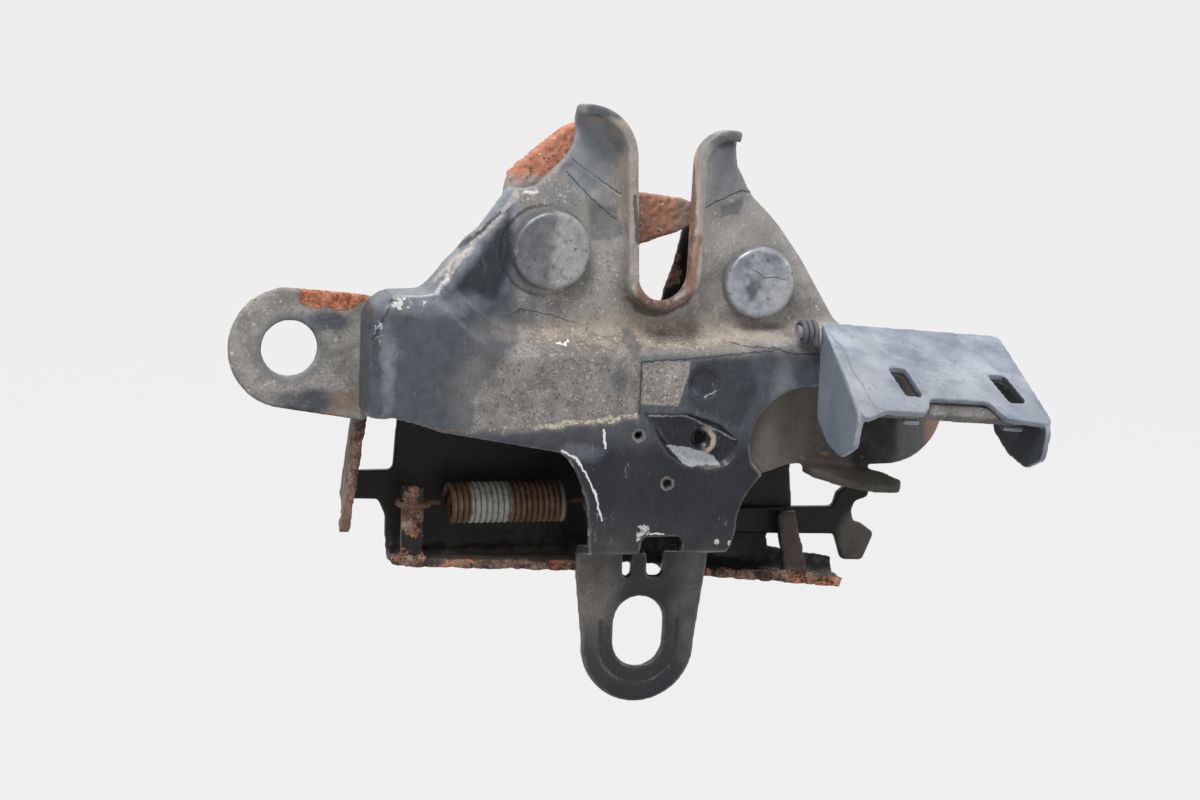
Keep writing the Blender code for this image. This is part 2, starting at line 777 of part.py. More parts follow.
def anchor_front():
    """The anchor tab's front face. The spring's axis runs through the tab's middle."""
    return SPRING_Y - REAR_SHEET / 2


# Ears


def left_ear_bracket(latch, steel):
    top = LEFT_EAR_Z + EAR_RADIUS
    foot = LEFT_EAR_Z - EAR_RADIUS
    right = BOX_LEFT + 0.0022
    outline = arc(LEFT_EAR_X, LEFT_EAR_Z, EAR_RADIUS, 95, 265, 20)
    outline += [(right - 0.004, foot - 0.0028), (right, foot + 0.0006)]
    outline += [(right, top - 0.005), (right - 0.003, top - 0.0016)]
    ear = prism("left_ear_bracket", outline, TAB_LEVEL, TAB_LEVEL + EAR_SHEET, latch, steel)
    cut(ear, round_cutter("left ear hole", LEFT_EAR_X, LEFT_EAR_Z, EAR_HOLE_RADIUS, 0.01, 0.02, latch, 28))
    soften(ear, 0.0004)
    shade(ear)
    return ear


EAR_BEND_START = 0.0255
EAR_BEND_END = 0.0405


def right_ear_depth(x, z):
    start = FRONT_SHEET + GAP
    return start + (TAB_LEVEL - start) * ease((x - EAR_BEND_START) / (EAR_BEND_END - EAR_BEND_START))


def right_ear_bracket(latch, steel):
    top = RIGHT_EAR_Z + EAR_RADIUS
    outline = mm((21.9, -15.6), (25.6, -17.4), (34.5, -17.6), (43, -18.3), (50, -18.6))
    outline += arc(RIGHT_EAR_X, RIGHT_EAR_Z, EAR_RADIUS, -88, 88, 20)
    outline += [(0.044, top - 0.0002), (0.0385, top - 0.001), (0.030, 0.0062)]
    outline += [(0.0245, 0.0022), (0.0219, -0.005)]
    lines = []
    for share in np.linspace(0, 1, 7):
        x = EAR_BEND_START + share * (EAR_BEND_END - EAR_BEND_START)
        lines.append([(x, -0.03), (x, 0.02)])
    ear = pressed_sheet("right_ear_bracket", outline, lines, right_ear_depth, EAR_SHEET, latch, steel)
    join(ear, foot_tongue(latch))
    hole = round_cutter("right ear hole", RIGHT_HOLE_X, RIGHT_HOLE_Z, RIGHT_HOLE_RADIUS, 0.01, 0.02, latch)
    cut(ear, hole)
    return ear


def foot_tongue(latch):
    """A tongue bent forward from the right ear's lower edge, a little lower towards its tip."""
    outline = mm((39.5, 15.9), (40.2, 9), (44.5, 2), (52, -2.4))
    outline += mm((58.6, -1), (61, 4), (59, 11), (55, 15.9))
    tongue = prism("foot tongue", rounded(outline, 0.003, 3), -0.0198, -0.0176, latch, axis="Z")
    for vertex in tongue.data.vertices:
        vertex.co.z -= 0.09 * (vertex.co.x - 0.04) + 0.05 * (0.016 - vertex.co.y)
    return tongue


# Cable bracket


def cable_bracket(latch, steel):
    """The arm and the C shaped fork that grips the release cable's sheath."""
    arm = mm((24, -30.3), (52.0, -30.6), (52.9, -27.2), (54.9, -25.6), (61.2, -26.0))
    arm += mm((60.8, -28.4), (57.6, -29.4))
    jaw = mm((56.8, -31.7), (57.5, -34.3), (59.6, -34.9), (63.0, -37.3), (60.3, -44.0))
    jaw += mm((55.0, -43.8), (52.8, -37.4))
    outline = rounded(arm + jaw + mm((24, -36.6)), 0.0011, 2)
    back = REAR_LOW - GAP
    bracket = prism("cable_bracket", outline, back - REAR_SHEET, back, latch, steel)
    soften(bracket, 0.0003)
    shade(bracket)
    return bracket


# Pivots


def rivet(name, x, z, head_radius, latch, steel):
    """A shouldered rivet: large flat head in front, plain shank, peened end behind the rear plate."""
    head_back = RIVET_LEVEL - GAP
    head_front = head_back - HEAD_THICK
    peen_front = REAR_BACK + GAP
    profile = [
        (0, head_front),
        (head_radius - 0.0012, head_front),
        (head_radius - 0.0003, head_front + 0.0005),
        (head_radius, head_front + 0.0014),
        (head_radius, head_back),
        (SHANK_RADIUS, head_back),
        (SHANK_RADIUS, peen_front),
        (PEEN_RADIUS, peen_front),
        (PEEN_RADIUS, peen_front + PEEN_THICK * 0.5),
        (PEEN_RADIUS * 0.72, peen_front + PEEN_THICK),
        (0, peen_front + PEEN_THICK),
    ]
    piece = turned(name, profile, latch, steel)
    piece.location = (x, 0, z)
    return piece


def ring(name, x, z, inner, outer, low, high, latch, steel, segments=32):
    """A plain washer or spacer round a rivet."""
    profile = [(inner, low), (outer, low), (outer, high), (inner, high), (inner, low)]
    piece = turned(name, profile, latch, steel, segments)
    piece.location = (x, 0, z)
    return piece


# Claw


def claw_outline():
    """The claw about its own pivot, drawn open: its lower jaw lies across the slot."""
    striker = Vector((-CLAW_X, SLOT_FOOT_Z - STRIKER_DROP - CLAW_Z))
    reach = striker.length
    angle = math.atan2(striker.y, striker.x) + CLAW_TURN
    seat = (reach * math.cos(angle), reach * math.sin(angle))
    half = THROAT_WIDTH / 2
    slope = math.degrees(THROAT_SLOPE)
    throat = arc(*seat, half, 112, 270 + slope, 9)
    along = (math.cos(THROAT_SLOPE), math.sin(THROAT_SLOPE))
    foot = (throat[-1][0], throat[-1][1])
    run = 0.0
    while math.hypot(foot[0] + along[0] * run, foot[1] + along[1] * run) < CLAW_REACH - 0.0016:
        run += 0.0001
    jaw_top = (foot[0] + along[0] * run, foot[1] + along[1] * run)
    tip_start = math.degrees(math.atan2(jaw_top[1], jaw_top[0])) - 2.5
    tip = arc(0, 0, CLAW_REACH, tip_start, 9.5, 3)
    under = mm((32.5, 4.6), (21.9, 1.0), (13.5, -3.6))
    hub = arc(0, 0, CLAW_HUB_RADIUS, -52, -190, 12)
    upper = mm((-10.6, 7.5), (-9.3, 13.6), (-8.9, 16.4), (-6.6, 18.7), (-1.1, 23.3))
    upper += mm((3.4, 26.7), (7.4, 28.4))
    crown = mm((12, 29.4), (15.4, 28.5), (17.2, 26.2), (17.1, 24.4))
    return throat + [jaw_top] + tip + under + hub + upper + crown


def claw(axis, steel):
    piece = prism("claw", claw_outline(), CLAW_FRONT, CLAW_BACK, axis, steel)
    cut(piece, round_cutter("claw bore", 0, 0, SHANK_RADIUS + GAP, 0, 0.03, axis))
    soften(piece, 0.0005)
    shade(piece)
    return piece


# Pawl


def nose_place():
    """Where the pawl's nose waits: just outside the claw's reach, seen from the pawl's pivot."""
    gap = CLAW_REACH + GAP + NOSE_RADIUS
    x = CLAW_X + gap * math.cos(NOSE_ANGLE) - PAWL_X
    z = CLAW_Z + gap * math.sin(NOSE_ANGLE) - PAWL_Z
    return x, z


def pawl_outline():
    """Hub, nose and long lower arm, about the pawl's own pivot."""
    nose_x, nose_z = nose_place()
    half = PAWL_ARM_WIDTH / 2
    heading = math.degrees(PAWL_ARM_ANGLE)
    end_x = PAWL_ARM_REACH * math.cos(PAWL_ARM_ANGLE)
    end_z = PAWL_ARM_REACH * math.sin(PAWL_ARM_ANGLE)
    nose_heading = math.degrees(math.atan2(nose_z, nose_x))
    end = arc(end_x, end_z, half, heading - 90, heading + 90, 10)
    hub = arc(0, 0, PAWL_HUB_RADIUS, heading + 90 - 360, nose_heading - 60, 14)
    nose = arc(nose_x, nose_z, NOSE_RADIUS, nose_heading - 70, nose_heading + 60, 6)
    crook_reach = math.hypot(nose_x, nose_z) * 0.98
    bend = math.radians(heading - 15)
    crook = (crook_reach * math.cos(bend), crook_reach * math.sin(bend))
    return end + hub + nose + [crook]


def pawl(axis, steel):
    piece = prism("pawl", pawl_outline(), CLAW_FRONT, CLAW_BACK, axis, steel)
    cable_reach = PAWL_ARM_REACH - CABLE_HOLE_INSET
    hook_x, hook_z = hook_place()
    cable_x = cable_reach * math.cos(PAWL_ARM_ANGLE)
    cable_z = cable_reach * math.sin(PAWL_ARM_ANGLE)
    cut(
        piece,
        round_cutter("pawl bore", 0, 0, SHANK_RADIUS + GAP, 0, 0.03, axis),
        round_cutter("hook hole", hook_x, hook_z, HOOK_HOLE_RADIUS, 0, 0.03, axis, 14),
        round_cutter("cable hole", cable_x, cable_z, CABLE_HOLE_RADIUS, 0, 0.03, axis, 14),
    )
    soften(piece, 0.0004)
    shade(piece)
    return piece


def hook_place():
    """The spring's hole near the pawl arm's end, about the pawl's pivot."""
    return PAWL_ARM_REACH * math.cos(PAWL_ARM_ANGLE), PAWL_ARM_REACH * math.sin(PAWL_ARM_ANGLE)


# Springs


def coil(radius, pitch, turns, per_turn, start=0.0):
    """Points of a helix along X."""
    count = int(turns * per_turn)
    points = []
    for k in range(count + 1):
        angle = start + 2 * math.pi * k / per_turn
        points.append((pitch * k / per_turn, radius * math.cos(angle), radius * math.sin(angle)))
    return points


def pawl_spring(latch, steel):
    """Close-wound tension spring: a ring hook round the anchor tab and a bent hook in the pawl's arm."""
    radius = SPRING_RADIUS - SPRING_WIRE / 2
    pitch = SPRING_WIRE + 0.00004
    body = coil(radius, pitch, SPRING_TURNS, 10)
    body = [(SPRING_LEFT + x, SPRING_Y + y, SPRING_Z + z) for x, y, z in body]
    eye = 0.0036
    eye_x = ANCHOR_X - ANCHOR_WIDTH / 2 - GAP - SPRING_WIRE / 2 + eye
    left = []
    for angle in np.radians(np.linspace(-150, 75, 12)):
        left.append((eye_x - eye * math.cos(angle), SPRING_Y + eye * math.sin(angle), SPRING_Z))
    left += [(eye_x + eye + 0.0012, SPRING_Y + 0.001, SPRING_Z), (SPRING_LEFT - 0.0022, SPRING_Y, SPRING_Z)]
    left += [(SPRING_LEFT - 0.0010, SPRING_Y + radius * 0.55, SPRING_Z)]
    hook_x, hook_z = hook_place()
    hook_x += PAWL_X
    hook_z += PAWL_Z
    last_x = body[-1][0]
    front = CLAW_FRONT - 0.0016
    right = [(last_x + 0.0010, SPRING_Y + radius * 0.55, SPRING_Z), (last_x + 0.0022, SPRING_Y, SPRING_Z)]
    right += [(hook_x - 0.0016, SPRING_Y, hook_z), (hook_x - 0.0004, SPRING_Y - 0.0005, hook_z)]
    right += [(hook_x, SPRING_Y - 0.0017, hook_z), (hook_x, front + 0.0012, hook_z)]
    right += [(hook_x - 0.0006, front, hook_z)]
    return wire("pawl_spring", left + body + right, SPRING_WIRE, latch, steel, 1)


def claw_spring(latch, steel):
    """Torsion spring round the spacer, with one leg to the claw and one to the front plate."""
    room = REAR_FRONT - GAP - LEVER_FRONT
    rise = room - CLAW_SPRING_WIRE - 0.0002
    start_y = LEVER_FRONT + 0.0001 + CLAW_SPRING_WIRE / 2
    points = []
    steps = int(CLAW_SPRING_TURNS * 20)
    for k in range(steps + 1):
        angle = math.radians(200) + 2 * math.pi * CLAW_SPRING_TURNS * k / steps
        y = start_y + rise * k / steps
        points.append((CLAW_SPRING_RADIUS * math.cos(angle), y, CLAW_SPRING_RADIUS * math.sin(angle)))
    first = Vector(points[0])
    last = Vector(points[-1])
    lead_in = [first + Vector((-0.003, 0, 0.008)), first + Vector((-0.0012, 0, 0.0035))]
    lead_out = [last + Vector((0.0010, 0, 0.0035)), last + Vector((0.0024, 0, 0.009))]
    spring = wire("claw_spring", lead_in + points + lead_out, CLAW_SPRING_WIRE, latch, steel, 1)
    spring.location = (CLAW_X, 0, CLAW_Z)
    return spring


# Safety handle


def pad_frame(axis):
    """An empty on the pad's inner rear corner: X along the pad, Y up its slope, Z out of its top."""
    frame = empty("pad frame", (PAD_X - PAWL_X, PAD_Y, PAD_Z - PAWL_Z), axis)
    frame.rotation_mode = "YXZ"
    frame.rotation_euler = (PAD_SLOPE, PAD_TILT, 0)
    return frame


LEFT_WINDOW = mm((12.2, -13.9), (16.6, -13.9), (18.2, -23.3), (14.0, -23.3))
RIGHT_WINDOW = mm((37.0, -13.9), (41.4, -13.9), (44.0, -23.0), (39.8, -23.3))
WINDOWS = (LEFT_WINDOW, RIGHT_WINDOW)


def grown(outline, margin):
    """The outline moved outwards from its own middle."""
    centre_x = sum(p[0] for p in outline) / len(outline)
    centre_y = sum(p[1] for p in outline) / len(outline)
    result = []
    for x, y in outline:
        result.append((x + math.copysign(margin, x - centre_x), y + math.copysign(margin, y - centre_y)))
    return result


def handle_lever(axis, steel):
    """The steel lever: a flat arm from the pivot, folded forward into a shelf and down into the pad."""
    foot = LEVER_FOOT_Z - PAWL_Z
    shelf_top = foot + 0.0042
    shelf_low = shelf_top - 0.015 * math.tan(PAD_TILT)
    arm = arc(0, 0, PAWL_HUB_RADIUS + 0.0005, 60, 300, 16)
    arm += [(0.010, foot + 0.003), (0.022, foot), (0.0381, foot), (0.0381, shelf_low)]
    arm += [(0.0231, shelf_top), (0.0195, shelf_top + 0.0006)]
    arm += [(0.0162, shelf_top + 0.0036), (0.0112, shelf_top + 0.0118)]
    lever = prism("handle_lever", arm, LEVER_FRONT, LEVER_BACK, axis, steel)
    shelf = [(0.0232, shelf_top), (0.0232, shelf_top - LEVER_THICK)]
    shelf += [(0.038, shelf_low - LEVER_THICK), (0.038, shelf_low)]
    frame = pad_frame(axis)
    under = -COVER_WALL - GAP
    pad_outline = mm((3.2, -1.2), (43.4, -1.2), (44.0, -26.6), (4.6, -26.6))
    pad = prism("pad", rounded(pad_outline, 0.002, 3), under - PAD_THICK, under, frame, axis="Z")
    join(lever, prism("shelf", shelf, -0.0024, LEVER_BACK - 0.0004, axis), pad)
    cut(lever, round_cutter("lever bore", 0, 0, SHANK_RADIUS + GAP, 0.01, 0.03, axis))
    for number, window in enumerate(WINDOWS):
        hole = rounded(grown(window, 0.0016), 0.001, 2)
        cut(lever, prism(f"pad window {number}", hole, under - 0.006, under + 0.003, frame, axis="Z"))
    soften(lever, 0.0003)
    shade(lever)
    return lever


def cover_flank():
    """The side of the cover, in the plane across the pad: along the slope and down from its top."""
    low = mm((-2.4, -3.7), (-14.6, -16.4), (-22.6, -16.2), (-30.0, -13.6), (-33.8, -7.3))
    return rounded(mm((-0.6, -0.5)) + low + mm((-30.6, -0.5)), 0.0028, 4)


def handle_cover(axis, plastic):
    """The moulded cover: a sloping top with two windows, a flank down each side and two snap hooks."""
    frame = pad_frame(axis)
    length = COVER_LENGTH
    width = COVER_WIDTH
    top = [(0.0, 0.0), (width - 0.0015, 0.0), (width + 0.0022, -length - 0.0012)]
    top += [(0.0372, -length), (0.0342, -0.0232), (0.0197, -0.0235), (0.0185, -0.0268)]
    top += [(0.0168, -length), (0.0077, -length), (0.0045, -length - 0.0018)]
    top += [(0.0012, -length - 0.0034)]
    cover = prism("handle_cover", rounded(top, 0.0014, 2), -COVER_WALL, 0, frame, plastic, axis="Z")
    lip = 0.0003
    left = prism("left flank", cover_flank(), lip, COVER_WALL, frame, axis="X")
    right = prism("right flank", cover_flank(), width - COVER_WALL - lip, width - 2 * lip, frame, axis="X")
    for vertex in right.data.vertices:
        vertex.co.x += -0.09 * (vertex.co.y + 0.008)
    join(cover, left, right)
    for number, window in enumerate(WINDOWS):
        join(cover, snap_hook(number, window, frame))
        opening = rounded(window, 0.0008, 2)
        cut(cover, prism(f"window {number}", opening, -COVER_WALL - 0.00005, 0.004, frame, axis="Z"))
    shade(cover)
    return cover


def snap_hook(number, window, frame):
    """A hook that drops from the window's lower edge through the pad and turns under it."""
    x_low = min(p[0] for p in window) + 0.0016
    x_high = max(p[0] for p in window) - 0.0002
    y_edge = min(p[1] for p in window)
    drop = COVER_WALL + PAD_THICK + 2 * GAP
    back = y_edge + 0.0012
    tip = y_edge - 0.0036
    profile = [(y_edge - 0.0007, -0.0009), (back, -0.0009), (back, -drop - 0.0022), (tip, -drop - 0.0010)]
    profile += [(tip, -drop), (y_edge - 0.0007, -drop)]
    return prism(f"snap hook {number}", profile, x_low, x_high, frame, axis="X")


def handle_spring_place():
    """The small coil's centre, beside the pad's inner edge, about the pawl's pivot."""
    return 0.0336 - PAWL_X, -0.0012, 0.0156 - PAWL_Z


def handle_spring_pin(axis, steel):
    """The pin beside the cover's inner flank that the small spring sits on."""
    x, y, z = handle_spring_place()
    radius = HANDLE_SPRING_RADIUS - HANDLE_SPRING_WIRE / 2 - 0.0001
    half = HANDLE_SPRING_WIRE * (HANDLE_SPRING_TURNS + 1) / 2 + 0.0003
    circle = arc(y, z, radius, 0, 330, 11)
    pin = prism("handle_spring_pin", circle, x - half, x + half, axis, steel, axis="X")
    shade(pin)
    return pin


def handle_spring(axis, steel):
    """Small torsion spring: a few turns on the pin and a leg that ends in front of the strip."""
    x, y, z = handle_spring_place()
    pitch = HANDLE_SPRING_WIRE + 0.0001
    turns = coil(HANDLE_SPRING_RADIUS, pitch, HANDLE_SPRING_TURNS, 12)
    start = x - pitch * HANDLE_SPRING_TURNS / 2
    points = [(start + a, y + b, z + c) for a, b, c in turns]
    last = Vector(points[-1])
    leg = [last + Vector((0, 0, -0.001)), last + Vector((0, 0, -0.0026))]
    return wire("handle_spring", points + leg, HANDLE_SPRING_WIRE, axis, steel, 1)


def main():
    for old in list(bpy.data.objects):
        bpy.data.objects.remove(old)
    latch = empty("latch", (0, -MOUNT_PLANE, -TAB_LAND_Z))
    claw_axis = empty("claw axis", (CLAW_X, 0, CLAW_Z), latch)
    pawl_axis = empty("pawl axis", (PAWL_X, 0, PAWL_Z), latch)
    handle_axis = empty("handle axis", (PAWL_X, 0, PAWL_Z), latch)
    paint = material("black paint", (0.022, 0.025, 0.032), 0.42, 0.0)
    dark = material("dark rusty steel", (0.035, 0.028, 0.024), 0.7, 0.3)
    brown = material("brown steel", (0.16, 0.12, 0.095), 0.7, 0.3)
    rust = material("orange rust", (0.33, 0.11, 0.045), 0.85, 0.1)
    head = material("rivet steel", (0.16, 0.17, 0.18), 0.45, 0.6)
    zinc = material("spring steel", (0.34, 0.22, 0.15), 0.6, 0.5)
    plastic = material("blue grey plastic", (0.13, 0.16, 0.21), 0.55, 0.0)
    front_plate(latch, paint)
    rear_plate(latch, dark)
    left_ear_bracket(latch, brown)
    right_ear_bracket(latch, brown)
    cable_bracket(latch, dark)
    rivet("claw_rivet", CLAW_X, CLAW_Z, CLAW_HEAD_RADIUS, latch, head)
    rivet("pawl_rivet", PAWL_X, PAWL_Z, PAWL_HEAD_RADIUS, latch, head)
    bore = SHANK_RADIUS + GAP
    ring("claw_spacer", CLAW_X, CLAW_Z, bore, 0.0055, LEVER_FRONT, REAR_FRONT - GAP, latch, head)
    ring("lever_washer", PAWL_X, PAWL_Z, bore, 0.0078, WASHER_FRONT, WASHER_BACK, latch, head)
    claw_spring(latch, zinc)
    pawl_spring(latch, zinc)
    claw(claw_axis, rust)
    pawl(pawl_axis, dark)
    handle_lever(handle_axis, dark)
    handle_cover(handle_axis, plastic)
    handle_spring_pin(handle_axis, head)
    handle_spring(handle_axis, zinc)


main()
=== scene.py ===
# %% [markdown]
# # A worn bonnet latch
#
# A bonnet latch is a pressed steel plate with a slot for the bonnet's striker. A claw and a pawl lie
# behind the plate on two large rivets, a tension spring pulls the pawl, and a plastic covered safety
# handle stands out to the right. This lesson dresses the plain solids of such a latch with rounded
# edges, fine wire and worn finishes. The solids come first, because everything else sits on them.

import json
import math

import bmesh
import bpy
import numpy as np
from mathutils import Matrix, Vector, noise

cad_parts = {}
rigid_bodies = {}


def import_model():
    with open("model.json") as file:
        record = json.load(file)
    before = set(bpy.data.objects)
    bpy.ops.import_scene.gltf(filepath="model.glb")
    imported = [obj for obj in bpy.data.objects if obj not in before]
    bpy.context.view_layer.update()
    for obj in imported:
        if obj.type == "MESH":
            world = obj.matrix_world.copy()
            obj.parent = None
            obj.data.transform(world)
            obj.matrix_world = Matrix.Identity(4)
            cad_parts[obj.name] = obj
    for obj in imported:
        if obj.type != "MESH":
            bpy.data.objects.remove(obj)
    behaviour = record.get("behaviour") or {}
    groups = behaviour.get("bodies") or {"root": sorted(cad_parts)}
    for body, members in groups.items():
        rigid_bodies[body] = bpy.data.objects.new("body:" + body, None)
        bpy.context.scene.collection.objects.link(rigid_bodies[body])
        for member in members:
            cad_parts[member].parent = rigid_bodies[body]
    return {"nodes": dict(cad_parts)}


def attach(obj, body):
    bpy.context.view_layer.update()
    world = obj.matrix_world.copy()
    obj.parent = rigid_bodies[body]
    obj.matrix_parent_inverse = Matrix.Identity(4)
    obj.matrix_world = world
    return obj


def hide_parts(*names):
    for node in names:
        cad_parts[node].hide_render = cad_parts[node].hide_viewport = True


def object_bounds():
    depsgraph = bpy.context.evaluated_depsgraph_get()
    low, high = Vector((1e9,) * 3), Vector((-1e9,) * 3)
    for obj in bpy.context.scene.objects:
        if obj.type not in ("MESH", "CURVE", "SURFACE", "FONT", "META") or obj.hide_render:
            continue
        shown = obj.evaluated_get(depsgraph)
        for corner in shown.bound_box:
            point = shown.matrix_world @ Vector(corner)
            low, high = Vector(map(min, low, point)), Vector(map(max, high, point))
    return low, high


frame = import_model()
solid_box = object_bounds()
scene = bpy.context.scene

# %% [markdown]
# The latch was measured in its own drawing: X = 0 on the slot's centre line, Y = 0 on the plate's
# raised faces and Z = 0 across its widest part, in millimetres. The solids stand with their origin on
# the lower bolt tab instead. One shift turns drawing millimetres into places in the scene, so all
# later steps can use the drawing's numbers.

# %% From the drawing to the scene
MM = 0.001
TAB_SEAT = Vector((0.0, 16.3, -70.225))


def place(x, y, z):
    """A point of the drawing, in millimetres, as a place in the scene."""
    return (Vector((x, y, z)) - TAB_SEAT) * MM


print("slot foot at", tuple(round(v, 4) for v in place(0, 0, 22)))

# %% [markdown]
# The camera stands a little to the left of the latch and a little above it, and is turned clockwise
# by a few degrees. It could be aimed with a Track To constraint, but then its roll would be lost. Here
# its three axes are worked out from the two angles and the roll, and go straight into its matrix.

# %% Camera
SIDE_ANGLE = math.radians(-16)
HEIGHT_ANGLE = math.radians(10)
ROLL = math.radians(2.5)
DISTANCE = 0.560
FOCAL_LENGTH = 75.6
AIM = (-14, 0, 0)

lens = bpy.data.cameras.new("camera")
lens.lens = FOCAL_LENGTH
lens.sensor_width = 36
lens.clip_start = 0.01
camera = bpy.data.objects.new("camera", lens)
scene.collection.objects.link(camera)
level = math.cos(HEIGHT_ANGLE)
back = Vector((math.sin(SIDE_ANGLE) * level, -math.cos(SIDE_ANGLE) * level, math.sin(HEIGHT_ANGLE)))
right = Vector((0, 0, 1)).cross(back).normalized()
up = back.cross(right)
rolled_right = right * math.cos(ROLL) + up * math.sin(ROLL)
rolled_up = up * math.cos(ROLL) - right * math.sin(ROLL)
turned = Matrix((rolled_right, rolled_up, back)).transposed().to_4x4()
turned.translation = place(*AIM) + back * DISTANCE
camera.matrix_world = turned
scene.camera = camera
print("camera", round(DISTANCE * 1000), "mm away")

# %% [markdown]
# The backdrop is a plain pale grey. A large floor below the latch can give it: the camera looks
# slightly down, so the floor fills the whole picture. Lamps alone would leave it uneven, so the
# camera and the reflections see mostly a plain grey, while a darker real surface keeps the latch's
# soft shadow and sends less light up from below.

# %% Floor and surroundings
PALE = (0.871, 0.871, 0.871, 1)
FLOOR_GREY = (0.42, 0.42, 0.42, 1)
FLOOR_RADIUS = 40
FLOOR_DROP = -0.056
SKY = (0.93, 0.96, 1.0, 1)
SKY_STRENGTH = 0.54


def show_plainly(tree, share, real, plain, out):
    """Lets the camera, reflections and see-through rays find a share of the plain shader."""
    path = tree.nodes.new("ShaderNodeLightPath")
    seen = path.outputs["Is Camera Ray"]
    for other in ("Is Glossy Ray", "Is Transmission Ray"):
        either = tree.nodes.new("ShaderNodeMath")
        either.operation = "MAXIMUM"
        tree.links.new(seen, either.inputs[0])
        tree.links.new(path.outputs[other], either.inputs[1])
        seen = either.outputs[0]
    part = tree.nodes.new("ShaderNodeMath")
    part.operation = "MULTIPLY"
    part.inputs[1].default_value = share
    tree.links.new(seen, part.inputs[0])
    mixer = tree.nodes.new("ShaderNodeMixShader")
    tree.links.new(part.outputs[0], mixer.inputs[0])
    tree.links.new(real.outputs[0], mixer.inputs[1])
    tree.links.new(plain.outputs[0], mixer.inputs[2])
    tree.links.new(mixer.outputs[0], out.inputs[0])


disc = bmesh.new()
bmesh.ops.create_circle(disc, cap_ends=True, segments=96, radius=FLOOR_RADIUS)
floor_mesh = bpy.data.meshes.new("floor")
disc.to_mesh(floor_mesh)
disc.free()
floor = bpy.data.objects.new("floor", floor_mesh)
floor.location.z = FLOOR_DROP
scene.collection.objects.link(floor)

floor_finish = bpy.data.materials.new("pale floor")
floor_finish.use_nodes = True
tree = floor_finish.node_tree
surface = tree.nodes["Principled BSDF"]
surface.inputs["Base Color"].default_value = FLOOR_GREY
surface.inputs["Roughness"].default_value = 0.9
glow = tree.nodes.new("ShaderNodeEmission")
glow.inputs["Color"].default_value = PALE
show_plainly(tree, 0.97, surface, glow, tree.nodes["Material Output"])
floor_mesh.materials.append(floor_finish)

world = bpy.data.worlds.new("studio")
scene.world = world
world.use_nodes = True
tree = world.node_tree
sky = tree.nodes["Background"]
sky.inputs["Color"].default_value = SKY
sky.inputs["Strength"].default_value = SKY_STRENGTH
plain = tree.nodes.new("ShaderNodeBackground")
plain.inputs["Color"].default_value = PALE
show_plainly(tree, 1.0, sky, plain, tree.nodes["World Output"])
scene.view_settings.view_transform = "Standard"
print("floor", FLOOR_DROP, "m below the bolt tab's seat")

# %% [markdown]
# Worn paint shows its shape by soft reflections, so the lamps are large. The main one hangs above and
# to the left and brightens every face that leans upwards. A weaker one on the right keeps the far side
# readable, and one behind draws a line of light along the horns.

# %% Lamps
LAMPS = (
    ("main lamp", (-0.30, -0.36, 0.78), 0.50, 10.0),
    ("side lamp", (0.62, -0.38, 0.18), 0.50, 2.0),
    ("rim lamp", (0.10, 0.55, 0.55), 0.45, 2.6),
)
for title, spot, size, power in LAMPS:
    light = bpy.data.lights.new(title, "AREA")
    light.shape = "DISK"
    light.size = size
    light.energy = power
    lamp = bpy.data.objects.new(title, light)
    lamp.location = place(0, 0, 0) + Vector(spot)
    lamp.rotation_mode = "QUATERNION"
    lamp.rotation_quaternion = (-Vector(spot)).to_track_quat("-Z", "Y")
    scene.collection.objects.link(lamp)
print("lamps:", len(LAMPS))

# %% [markdown]
# A finish is a web of nodes. Writing each node, its options and its links out in full takes many
# lines, so a few short helpers do it: one adds any node, one adds a sum, one fades between two levels
# and one lays a colour over another.

# %% Node helpers


def node(tree, kind, inputs=None, **options):
    """Adds a node, sets its options and fills its inputs with numbers or links."""
    made = tree.nodes.new(kind)
    for key, value in options.items():
        setattr(made, key, value)
    for key, value in (inputs or {}).items():
        if isinstance(value, bpy.types.NodeSocket):
            tree.links.new(value, made.inputs[key])
        else:
            made.inputs[key].default_value = value
    return made


def maths(tree, operation, a, b=0.0):
    """One sum of two numbers."""
    return node(tree, "ShaderNodeMath", {0: a, 1: b}, operation=operation).outputs[0]


def times(tree, a, b):
    return maths(tree, "MULTIPLY", a, b)


def vectors(tree, operation, a, b=(0.0, 0.0, 0.0), answer="Vector"):
    """One sum of two vectors."""
    return node(tree, "ShaderNodeVectorMath", {0: a, 1: b}, operation=operation).outputs[answer]


def fade(tree, value, low, high, start=0.0, end=1.0):
    """A smooth change from start to end while the value goes from low to high."""
    inputs = {"Value": value, "From Min": low, "From Max": high, "To Min": start, "To Max": end}
    return node(tree, "ShaderNodeMapRange", inputs, interpolation_type="SMOOTHSTEP").outputs["Result"]


def highest(tree, *masks):
    """The strongest of several masks."""
    total = masks[0]
    for mask in masks[1:]:
        total = maths(tree, "MAXIMUM", total, mask)
    return total


def axis_of(tree, vector, axis):
    """One number of a vector: its X, Y or Z."""
    return node(tree, "ShaderNodeSeparateXYZ", {"Vector": vector}).outputs[axis]


def rest_of(tree, mask, share=1.0):
    """One minus a share of the mask."""
    return maths(tree, "SUBTRACT", 1.0, times(tree, mask, share))


def over(tree, mask, below, above):
    """The colour above laid over the one below, by the mask."""
    return node(tree, "ShaderNodeMix", {0: mask, 6: below, 7: above}, data_type="RGBA").outputs[2]


def cloud(tree, spot, scale, detail=4.0, rough=0.55, warp=0.0):
    """Cloudy noise from 0 to 1. Scale is the number of clouds in a millimetre."""
    inputs = {"Vector": spot, "Scale": scale, "Detail": detail, "Roughness": rough, "Distortion": warp}
    return node(tree, "ShaderNodeTexNoise", inputs).outputs["Fac"]


